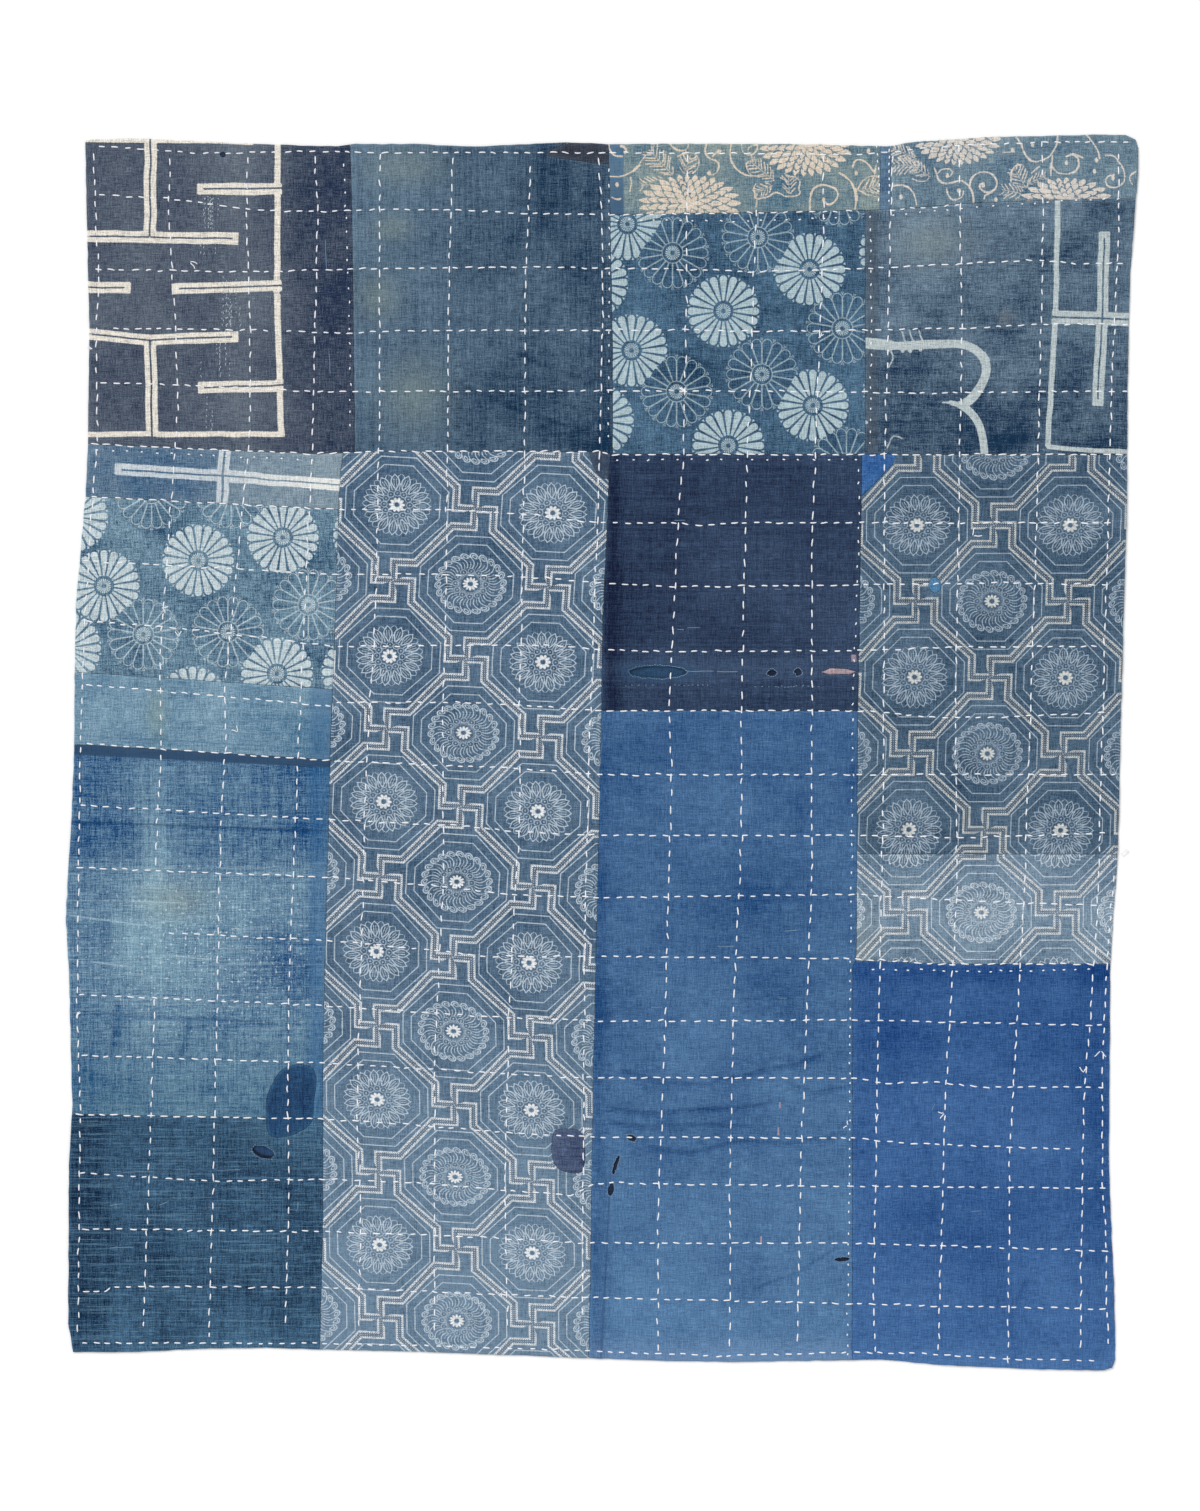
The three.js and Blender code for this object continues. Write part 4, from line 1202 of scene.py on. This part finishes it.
def lining_scraps(x, y):
    """Blue lining where two of the openings show it."""
    u = (x + 412.0) * 0.94 - (y + 484.0) * 0.34
    v = (x + 412.0) * 0.34 + (y + 484.0) * 0.94
    flap = node("SQRT", (u / 14.0) * (u / 14.0) + (v / 6.0) * (v / 6.0))
    slit = near(x, 68, 60) * near(y, 98, 14)
    return (painted(flap - 1.0, 0.15), "#2a466a"), (slit, "#2a4866")


def fade_deep_navy(x, y):
    return near(y, 102, 16) * 0.4 - near(x, 12, 13) * 0.6


def slit_wear(x, y):
    """Round the long slit the cloth is rubbed to a dull teal."""
    off = node("SQRT", ((x - 68.0) / 38.0) * ((x - 68.0) / 38.0) + ((y - 98.0) / 10.0) * ((y - 98.0) / 10.0))
    return ((slope(1.5, 0.95)(off) * 0.7, "#2c4a68"),)


def arch_fold_shade(x, y):
    """Painted shade: dark lines down the arched mend, along its folds."""
    # Painted shade along the mend's folds.
    lines = near(x, -398, 0.8) + near(x + y * 0.03, -393, 0.8) + near(x, -364, 0.9)
    return ((lines * 0.5, "#11284a"),)


def fade_lattice_left(x, y):
    return slope(-200, -640)(y) * 0.75 - slope(0, 330)(y) * 0.05


# Every cotton: what it is, its darkest and palest dye, how it faded, wore and was patterned, and where shade
# is painted on it.
COTTONS = {
    # The backing is real indigo cotton, its tone lowered to near black as painted shade where the openings
    # show it.
    "plain_indigo_cotton": cotton("plain indigo cotton", "#141c2d", "#27334a", motif=lining_scraps),
    "navy_fret_cotton": cotton(
        "navy cotton, paste-resist fret", "#313d53", "#626c79", fade=fade_navy_fret, patches=1.0,
        motif=resist("fret", "#e4ded3")),
    "faded_blue_cotton": cotton(
        "faded blue cotton", "#263e56", "#586f83", fade=fade_faded_blue, patches=1.4,
        motif=greenish_stains_and_fold_shade, runs=(0.9, 0.3)),
    "vine_stencil_cotton": cotton(
        "teal cotton, stencilled vines", "#486a80", "#889795", patches=1.4, patch=60,
        motif=resist("vine", "#d8cab9", blue_hem)),
    "vine_stencil_blue": cotton(
        "blue cotton, stencilled vines", "#446178", "#7d929d", patches=1.3, patch=60,
        motif=resist("vine", "#d2cbc2")),
    "narrow_blue_cotton": cotton("narrow strip of blue cotton", "#3b5878", "#647f96"),
    "flower_stencil_cotton": cotton(
        "blue cotton, stencilled chrysanthemums", "#213d57", "#53738d", patches=1.3, patch=70, yarn=1.1,
        motif=chrysanthemums("#acc0c6"), runs=(0.5, 0.3)),
    "blue_fret_cotton": cotton(
        "mottled blue cotton, paste-resist fret", "#2f455c", "#687e90", fade=fade_blue_fret, patches=1.5,
        patch=70, motif=resist("fret", "#b6c1c3", dull_stains), runs=(0.3, 0.6)),
    "cross_bar_cotton": cotton(
        "blue cotton, paste-resist cross", "#466482", "#7f929f", fade=fade_cross_bar, patches=1.0,
        motif=two_pastes),
    "faded_flower_cotton": cotton(
        "faded cotton, stencilled chrysanthemums", "#385873", "#7693a5", patches=1.4, patch=70, yarn=1.3,
        motif=chrysanthemums("#c0ced2"), runs=(0.5, 0.3)),
    "pale_blue_cotton": cotton(
        "pale blue cotton", "#456d8b", "#7e9caf", patches=1.5, motif=green_stain, runs=(0.3, 0.5)),
    "streaked_blue_cotton": cotton(
        "streaked blue cotton", "#33587f", "#80a1b2", fade=fade_streaked, patches=0.68, patch=60,
        yarn=0.85, slubs=0.2, motif=streaks_and_crease_shade, runs=(0.7, 0.6)),
    "slub_blue_cotton": cotton(
        "dark slubby cotton", "#1b354f", "#436683", fade=fade_slub_blue, patches=1.0, patch=80, yarn=1.1,
        slubs=0.4, motif=slub_streaks, runs=(0.8, 0.6), slub_run=130),
    "lattice_stencil_cotton": cotton(
        "blue-grey cotton, octagon stencil", "#344e67", "#61798f", fade=fade_lattice_left, patches=1.1,
        patch=90, motif=octagons("#bac7d2", "#e2e5e7"), runs=(0.6, 0.3)),
    "lattice_stencil_right": cotton(
        "grey-blue cotton, octagon stencil", "#2d455c", "#597085", patches=1.2, patch=90,
        motif=octagons("#a9b8c5", "#d6d8d4", 0.85)),
    "faded_lattice_cotton": cotton(
        "paler cotton, octagon stencil", "#435c74", "#788ea1", fade=fade_faded_lattice, patches=1.2,
        patch=90, motif=octagons("#c6d0d8", "#e0e2e1", 0.9, yellowed_edge)),
    "deep_navy_cotton": cotton(
        "deep navy cotton", "#1b2842", "#394c68", fade=fade_deep_navy, patches=1.0, patch=120, yarn=0.9,
        motif=slit_wear, runs=(0.6, 0.7)),
    "mid_blue_cotton": cotton(
        "mid-blue cotton", "#264b78", "#50759c", fade=fade_mid_blue, patches=1.3, patch=130, yarn=0.8,
        motif=bottom_bloom_and_fold_shade, runs=(0.4, 0.25)),
    "bright_blue_cotton": cotton(
        "bright blue cotton", "#1b4379", "#43699b", fade=fade_bright_blue, patches=1.1, patch=130,
        yarn=0.8, runs=(0.4, 0.2)),
    "mend_top_cotton": cotton(
        "near-black mending cotton", "#262b37", "#424957", patches=1.0, patch=40, rim=0.9),
    "mend_corner_cotton": cotton("navy mending cotton", "#2a384c", "#48566b", patches=1.0, patch=40),
    "mend_square_cotton": cotton(
        "indigo mending cotton", "#33415f", "#54627f", patches=1.0, patch=40, runs=(0.2, 1.2)),
    "mend_blue_cotton": cotton(
        "blue mending cotton", "#122e52", "#2e5377", patches=0.9, patch=40, motif=arch_fold_shade, rim=0.9),
    "mend_bright_blue": cotton("bright blue mending cotton", "#254f8a", "#4470a5", patches=0.9, patch=40),
    "mend_pale_blue": cotton("paler blue mending cotton", "#346591", "#5c89ad", patches=0.9, patch=40),
    "mend_rose_cotton": cotton("faded rose cotton", "#85757f", "#b09ca2", patches=0.9, patch=30),
}

# Each cloth: CAD node, cotton, slot, mesh step in mm, how far it lies below its neighbours, and its
# patterns.
FACE_CLOTHS = (
    ("cloth_navy_fret", "navy_fret_cotton", "navy_fret_cotton", 2.2, 0, (("fret", "distance", navy_fret),)),
    ("cloth_faded_blue", "faded_blue_cotton", "faded_blue_cotton", 4, 0, ()),
    ("strip_vines_left", "vine_stencil_cotton", "vine_stencil_cotton", 1.1, 0,
     (("vine", "distance", vines_left),)),
    ("strip_narrow_blue", "narrow_blue_cotton", "narrow_blue_cotton", 3, 0, ()),
    ("strip_vines_right", "vine_stencil_blue", "vine_stencil_cotton", 1.1, 0,
     (("vine", "distance", vines_right),)),
    ("cloth_flowers_upper", "flower_stencil_cotton", "flower_stencil_cotton", 4, 0,
     (("flower", "face", nearest_flower(FLOWERS_FILLED, FLOWERS_OUTLINED)),)),
    ("cloth_blue_fret", "blue_fret_cotton", "blue_fret_cotton", 2.2, 0, (("fret", "distance", blue_fret),)),
    ("cloth_cross_bar", "cross_bar_cotton", "cross_bar_cotton", 2.2, 0, (("fret", "distance", cross_bar),)),
    ("cloth_flowers_left", "faded_flower_cotton", "faded_flower_cotton", 4, 0,
     (("flower", "face", nearest_flower(FADED_FLOWERS_FILLED, FADED_FLOWERS_OUTLINED)),)),
    ("cloth_pale_band", "pale_blue_cotton", "pale_blue_cotton", 4, 0, ()),
    ("cloth_streaked", "streaked_blue_cotton", "streaked_blue_cotton", 4, 0, ()),
    ("cloth_slub_blue", "slub_blue_cotton", "slub_blue_cotton", 4, 0, ()),
    ("cloth_lattice_left", "lattice_stencil_cotton", "lattice_stencil_cotton", 4, 0,
     (("stencil", "place", stencil_place(LATTICE_LEFT)),)),
    ("cloth_deep_navy", "deep_navy_cotton", "deep_navy_cotton", 4, 0, ()),
    ("cloth_mid_blue", "mid_blue_cotton", "mid_blue_cotton", 4, 0, ()),
    ("cloth_lattice_right", "lattice_stencil_right", "lattice_stencil_cotton", 4, 0,
     (("stencil", "place", stencil_place(LATTICE_RIGHT)),)),
    ("cloth_lattice_low", "faded_lattice_cotton", "faded_lattice_cotton", 4, 0,
     (("stencil", "place", stencil_place(LATTICE_LOW)),)),
    ("cloth_bright_blue", "bright_blue_cotton", "bright_blue_cotton", 4, 0, ()),
    ("mend_top_navy", "mend_top_cotton", "mend_navy_cotton", 3, 0.4, ()),
    ("mend_corner_navy", "mend_corner_cotton", "mend_navy_cotton", 3, 0.3, ()),
    ("mend_bright_corner", "mend_bright_blue", "bright_blue_cotton", 3, 0.4, ()),
    ("mend_small_blue", "mend_pale_blue", "mend_blue_cotton", 2, 0.2, ()),
    ("mend_navy_square", "mend_square_cotton", "mend_navy_cotton", 3, 0.0, ()),
    ("mend_arch_blue", "mend_blue_cotton", "mend_blue_cotton", 3, 0.5, ()),
    ("mend_rose_sliver", "mend_rose_cotton", "mend_rose_cotton", 2, 0.5, ()),
)

DYED_LINES = {
    "cloth_navy_fret": NAVY_FRET_LINES,
    "cloth_blue_fret": BLUE_FRET_LINES,
    "cloth_cross_bar": CROSS_LINES,
}


def spread_the_cloths():
    """Lays the backing and every cloth on it."""
    backing, size, area = lay_cloth("backing_cloth", COTTONS["plain_indigo_cotton"], 12.0, top=BACKING_TOP,
                                    under=0.0, loft=0.0)
    for name, dyed, slot, step, sunk, marks in FACE_CLOTHS:
        through = unwavered(DYED_LINES.get(name, ()))
        piece, size, area = lay_cloth(name, COTTONS[dyed], step, marks, through, FACE_LOW - sunk)


# ---------------------------------------------------------------- sashiko

# Short stitches that hold the turned seams: (pitch, length, stations of the seam they follow).
SEAM_STITCHES = (
    (18, 3.6, ((-622, 369), (-490, 363), (-352, 356))),
    (19, 3.6, ((14, 357), (316, 357))),
    (16, 3.4, ((12, 649), (155, 648), (312, 652))),
    (18, 3.4, ((352, 655), (452, 664), (560, 672), (640, 676))),
    (17, 4.0, ((-315, 722), (-311, 635), (-308, 540), (-306, 385))),
    (18, 4.0, ((8, 717), (9, 610), (8, 384))),
    (14, 4.0, ((327, 655), (328, 520), (327, 376))),
    (17, 4.0, ((313, 350), (312, 239), (306, 73), (305, -73), (303, -240))),
    (12, 3.6, ((303, -250), (302, -480), (299, -735))),
    (9, 4.0, ((336, 741), (337, 668))),
    (9, 4.0, ((350, 738), (350, 668))),
    (15, 7.0, ((8, 655), (90, 656), (200, 658), (312, 660))),
    (14, 7.0, ((348, 660), (440, 668))),
    (14, 4.0, ((325, -264), (460, -267), (600, -264))),
)
LOOSE_ENDS = (
    # x, y, heading in degrees, length in mm
    (418, -440, 200, 9), (334, -448, 60, 8), (608, -363, 250, 11), (587, -391, 80, 9), (632, -125, 30, 12),
    (-642, -324, 40, 10), (-503, 597, -50, 11), (-537, 176, 10, 9), (-516, 141, 100, 8), (-444, 24, 75, 9),
    (300, -455, 120, 7), (-620, 492, 150, 8), (93, 444, -30, 12), (263, 505, 10, 9), (452, 263, 50, 12),
)

# Where the face is rubbed down to single pale yarns: (left, right, low, high, how many, along the warp).
RUBBED_PATCHES = (
    (-494, -464, 637, 679, 9, True), (-494, -470, 606, 622, 3, True), (-463, -444, 518, 581, 12, True),
    (-494, -440, 392, 545, 9, True), (27, 134, 81.5, 82.5, 2, False), (180, 293, 79, 80, 2, False),
)
# Single yarns that lie bare for a length: (x, y, heading in degrees, length).
BARE_YARNS = (
    (103, 99, 0, 34), (140, 98.5, 0, 26), (104, 152, 2, 16), (88, 283, 1, 14), (210, 199, 0, 9),
    (92, 150, 0, 8), (-337, 625, -88, 36), (-332, 486, -88, 26), (140, -237, 3, 22), (222, -218, 5, 16),
    (216, -300, 2, 10), (60, -311, 0, 14), (-540, -552, 20, 12), (-600, -552, 8, 16), (-585, -512, 2, 40),
    (-600, -604, 2, 30), (-470, -510, 3, 30), (-372, -560, 80, 12), (402, -436, 62, 8),
    (450, -560, 4, 12),
)
# Rims of frayed yarn round the openings: (x, y, half length, half width, turn in degrees).
FRAYED_RIMS = (
    (-462, 729, 4.8, 4.3, 0), (68, 98, 36.5, 8.2, 0), (207, 97, 6.6, 4.6, 0), (239, 98, 5.4, 5.1, 0),
    (-413, -487, 14.6, 8.0, -20), (36, -470, 6.6, 4.6, -25), (17, -503, 13, 3.3, 72),
    (11, -533, 8.6, 4.6, 80), (293, -618, 10, 3.3, 3),
)
# Small darns in rose yarn: (x, y, length, height).
ROSE_DARNS = (
    (307, 115, 8.5, 8.5), (217, -430, 2.6, 7), (215, -462, 2.6, 9), (194, -594, 2.6, 8),
)


def running(stations, pitch, length, seed):
    """Running stitches along a row: each one's centre line, as points (x, y), no two quite alike."""
    chance = np.random.default_rng(seed)
    p = np.array(stations, float)
    legs = np.hypot(*np.diff(p, axis=0).T)
    run = np.concatenate([[0], np.cumsum(legs)])
    at = chance.uniform(0, pitch * 0.4)
    made = []
    while at < run[-1] - length * 0.5:
        reach = length * chance.uniform(0.78, 1.2)
        ends = np.linspace(at, min(at + reach, run[-1]), 5)
        x = np.interp(ends, run, p[:, 0])
        y = np.interp(ends, run, p[:, 1])
        dx, dy = x[-1] - x[0], y[-1] - y[0]
        size = max(math.hypot(dx, dy), 1e-6)
        lean = chance.normal(0, 0.55, 2)
        sway = np.linspace(lean[0], lean[1], 5) + 0.25 * chance.normal() * np.sin(np.linspace(0, math.pi, 5))
        made.append(np.stack([x - dy / size * sway, y + dx / size * sway], 1))
        at += pitch * chance.uniform(0.85, 1.15) + (reach - length) * 0.5
    return made


def rubbed(patch, seed):
    """Short lengths of worn yarn that still show here and there along a patch's warp or weft."""
    left, right, low, high, count, upright = patch
    chance = np.random.default_rng(seed)
    made = []
    for k in range(count):
        x, y = chance.uniform(left, right), chance.uniform(low, high)
        reach = chance.uniform(14, 40)
        if upright:
            ends = ((x, max(low, y - reach)), (x + chance.normal(0, 0.5), min(high, y + reach)))
        else:
            ends = ((max(left, x - reach), y), (min(right, x + reach), y + chance.normal(0, 0.5)))
        if math.dist(*ends) > 3:
            made += running(ends, chance.uniform(5, 9), chance.uniform(1.8, 3.4), seed + 50 + k)
    return made


def frayed(x, y, half_long, half_wide, turn, seed):
    """Yarn ends that stand round the rim of an opening."""
    cos, sin = math.cos(math.radians(turn)), math.sin(math.radians(turn))
    rim = []
    for k in range(25):
        a, b = half_long * math.cos(2 * math.pi * k / 24), half_wide * math.sin(2 * math.pi * k / 24)
        rim.append((x + a * cos - b * sin, y + a * sin + b * cos))
    return running(rim, 3.0, 2.5, seed)


def darned(x, y, length, height):
    """A darn: yarns laid side by side."""
    count = max(2, round(height / 1.2))
    return [np.stack([np.linspace(x - length / 2, x + length / 2, 5),
                      np.full(5, y + (k + 0.5 - count / 2) * 1.2)], 1) for k in range(count)]


# Thread for one turn of its two plies, in mm, and the sides of its section.
PLY_TURN = 2.4
THREAD_SIDES = 6


def thread_piece(name, runs, width, thick, dip, material):
    """One mesh of soft two-ply thread: a flattened round section that rides on the quilted face and
    dips at its ends."""
    around = THREAD_SIDES
    verts, faces, twists = [], [], []
    spots = np.vstack(runs)
    ground = FACE_LOW + quilting(spots[:, 0], spots[:, 1])
    first = 0
    for run in runs:
        count = len(run)
        height = ground[first:first + count]
        first += count
        share = np.linspace(0, 1, count)
        arch = np.sin(share * math.pi)
        centre = np.minimum(height, height.mean() + 0.5) + thick * 0.28 * arch - dip * (1 - arch) ** 2
        step = np.gradient(run, axis=0)
        step /= np.maximum(np.hypot(step[:, 0], step[:, 1]), 1e-6)[:, None]
        travelled = np.concatenate([[0], np.cumsum(np.hypot(*np.diff(run, axis=0).T))])
        base = len(verts)
        for k in range(count):
            full = 0.62 if k in (0, count - 1) else 1.0
            for j in range(around):
                turn = 2 * math.pi * j / around
                side = math.cos(turn) * width / 2 * full
                rise = math.sin(turn) * thick / 2 * full
                verts.append(((run[k, 0] - step[k, 1] * side) * MM, (run[k, 1] + step[k, 0] * side) * MM,
                              (centre[k] + rise) * MM))
                twists.append(travelled[k] + PLY_TURN * j / around)
        for k in range(count - 1):
            for j in range(around):
                a = base + k * around + j
                b = base + k * around + (j + 1) % around
                faces.append((a, b, b + around, a + around))
        last = base + (count - 1) * around
        faces.append(tuple(base + j for j in reversed(range(around))))
        faces.append(tuple(last + j for j in range(around)))
    mesh = bpy.data.meshes.new(name)
    mesh.from_pydata(verts, [], faces)
    mesh.polygons.foreach_set("use_smooth", [True] * len(faces))
    write_on(mesh, "twist", twists)
    mesh.materials.append(material)
    piece = bpy.data.objects.new(name, mesh)
    bpy.context.scene.collection.objects.link(piece)
    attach(piece, "root")
    return piece


def yarn(name, dark, light):
    """Soft, matt cotton yarn whose two plies show as a slanting twist, in bump and in painted shade."""
    material, place = start_material(name)
    twist = node("Attribute", attribute_name="twist", out="Fac")
    ply_relief_and_shade = node("SINE", twist * (2 * math.pi / PLY_TURN))
    fuzz = mottle(place, 1.6, 2.0)
    soil = mottle(place, 60, 2.0)
    # Painted shade: the colour darkens along the groove between the plies.
    shade = ply_relief_and_shade * 0.14 + fuzz * 0.8 + soil * 1.3 + 0.5
    colour = node("Mix", shade, (6, ink(dark)), (7, ink(light)), out=2, data_type="RGBA")
    relief = node("Bump", ("Strength", 0.6), ("Distance", 0.2 * MM), ("Height", ply_relief_and_shade * 0.5 + fuzz), out=0)
    face = node("BsdfPrincipled", ("Base Color", colour), ("Roughness", 0.85), ("Specular IOR Level", 0.2),
                ("IOR", 1.45), ("Sheen Weight", 0.1), ("Normal", relief))
    node("OutputMaterial", face, out=None)
    return material


# Running stitches: (pitch, length) in mm. Three of the upright rows were sewn with longer ones.
LEVEL_STITCH = (14.6, 8.6)
UPRIGHT_STITCH = (15.9, 9.3)
LONG_STITCH = (17.7, 9.9)
LONG_STITCH_ROWS = (9, 10, 11)


def sew():
    """The level and upright rows, the seams' short stitches, loose thread ends, worn yarns and darns."""
    level, upright, seams, rubs, worn, rims = [], [], [], [], [], []
    for k, row in enumerate(LEVEL_ROWS):
        level += running(row, *LEVEL_STITCH, 100 + k)
    for k, row in enumerate(UPRIGHT_ROWS):
        upright += running(row, *(LONG_STITCH if k in LONG_STITCH_ROWS else UPRIGHT_STITCH), 200 + k)
    for k, (pitch, length, seam) in enumerate(SEAM_STITCHES):
        seams += running(seam, pitch, length, 300 + k)
    loose = []
    chance = np.random.default_rng(400)
    for x, y, heading, length in LOOSE_ENDS:
        for k in range(2):
            turn = math.radians(heading + 40 * k) + np.cumsum(chance.normal(0, 0.28, 8))
            steps = np.stack([np.cos(turn), np.sin(turn)], 1) * length / 8
            loose.append(np.array([x, y]) + np.cumsum(steps, axis=0))
    for k, patch in enumerate(RUBBED_PATCHES):
        made = rubbed(patch, 500 + 100 * k)
        if patch[-1]:
            rubs += made
        else:
            worn += made
    for k, rim in enumerate(FRAYED_RIMS):
        rims += frayed(*rim, 3000 + k)
    for k, (x, y, heading, length) in enumerate(BARE_YARNS):
        run = np.linspace(0, length, 12)
        turn = math.radians(heading)
        sway = 0.5 * soft_noise(run, np.full(12, 9.0 * k), 14, 15)
        worn.append(np.stack([x + run * math.cos(turn) - sway * math.sin(turn),
                              y + run * math.sin(turn) + sway * math.cos(turn)], 1))
    darns = [s for darn in ROSE_DARNS for s in darned(*darn)]
    white = yarn("unbleached cotton sashiko thread", "#dfe2e9", "#fbfbfc")
    thread_piece("stitches_level_rows", level, 1.7, 1.0, 0.42, white)
    thread_piece("stitches_upright_rows", upright, 1.7, 1.0, 0.42, white)
    thread_piece("stitches_along_seams", seams, 1.6, 0.9, 0.4, white)
    thread_piece("thread_ends", loose, 1.2, 0.8, 0.1, white)
    thread_piece("rubbed_yarns", rubs, 0.85, 0.5, 0.1, yarn("rubbed pale cotton yarn", "#93a4b3", "#c9d1d8"))
    thread_piece("worn_yarns", worn, 0.8, 0.5, 0.1, yarn("worn blue cotton yarn", "#5d7c97", "#86a0b4"))
    thread_piece("frayed_rims", rims, 0.75, 0.5, 0.1, yarn("frayed blue cotton yarn", "#56728c", "#8ba0b2"))
    thread_piece("rose_darns", darns, 1.25, 0.6, 0.3, yarn("rose cotton darning yarn", "#8d7987", "#b8a4b0"))


# ---------------------------------------------------------------- floor, light and camera

def set_the_floor():
    mesh = bpy.data.meshes.new("floor")
    mesh.from_pydata([(-4, -4, 0), (4, -4, 0), (4, 4, 0), (-4, 4, 0)], [], [(0, 1, 2, 3)])
    material, place = start_material("matt white paper ground")
    tone = node("Mix", mottle(place, 700, 1.0) + 0.5, (6, ink("#fafafa")), (7, ink("#fdfdfd")), out=2,
                data_type="RGBA")
    face = node("BsdfPrincipled", ("Base Color", tone), ("Roughness", 0.95), ("Specular IOR Level", 0.1))
    node("OutputMaterial", face, out=None)
    mesh.materials.append(material)
    floor = bpy.data.objects.new("floor", mesh)
    bpy.context.scene.collection.objects.link(floor)


def light_the_room():
    """Even, soft daylight from all round, and a weak broad window high on the upper left for the
    quilting."""
    scene = bpy.context.scene
    world = bpy.data.worlds.new("soft daylight")
    world.use_nodes = True
    backdrop = next(n for n in world.node_tree.nodes if n.type == "BACKGROUND")
    backdrop.inputs["Color"].default_value = (1.0, 1.0, 1.0, 1.0)
    backdrop.inputs["Strength"].default_value = 0.76
    scene.world = world
    window = bpy.data.lights.new("window", "SUN")
    window.energy = 1.5
    window.angle = math.radians(24)
    lamp = bpy.data.objects.new("window", window)
    lamp.rotation_euler = Vector((0.75, -0.85, -0.95)).to_track_quat("-Z", "Y").to_euler()
    scene.collection.objects.link(lamp)
    scene.view_settings.view_transform = "Standard"
    scene.view_settings.look = "None"
    scene.view_settings.exposure = 0.0
    scene.view_settings.gamma = 1.0


# The camera's film in mm, its height over the cloth in m, and how much of the floor its longer side
# takes in.
FILM = 36
CAMERA_HEIGHT = 4.5
FLOOR_SHOWN = 1.843


def hang_the_camera():
    """Straight above the cloth, far enough to see it flat."""
    lens = bpy.data.cameras.new("overhead")
    lens.sensor_width = FILM
    lens.lens = FILM * CAMERA_HEIGHT / FLOOR_SHOWN
    lens.clip_end = 100
    camera = bpy.data.objects.new("overhead", lens)
    camera.location = (-0.0024, -0.0037, CAMERA_HEIGHT)
    bpy.context.scene.collection.objects.link(camera)
    bpy.context.scene.camera = camera


spread_the_cloths()
sew()
set_the_floor()
light_the_room()
hang_the_camera()
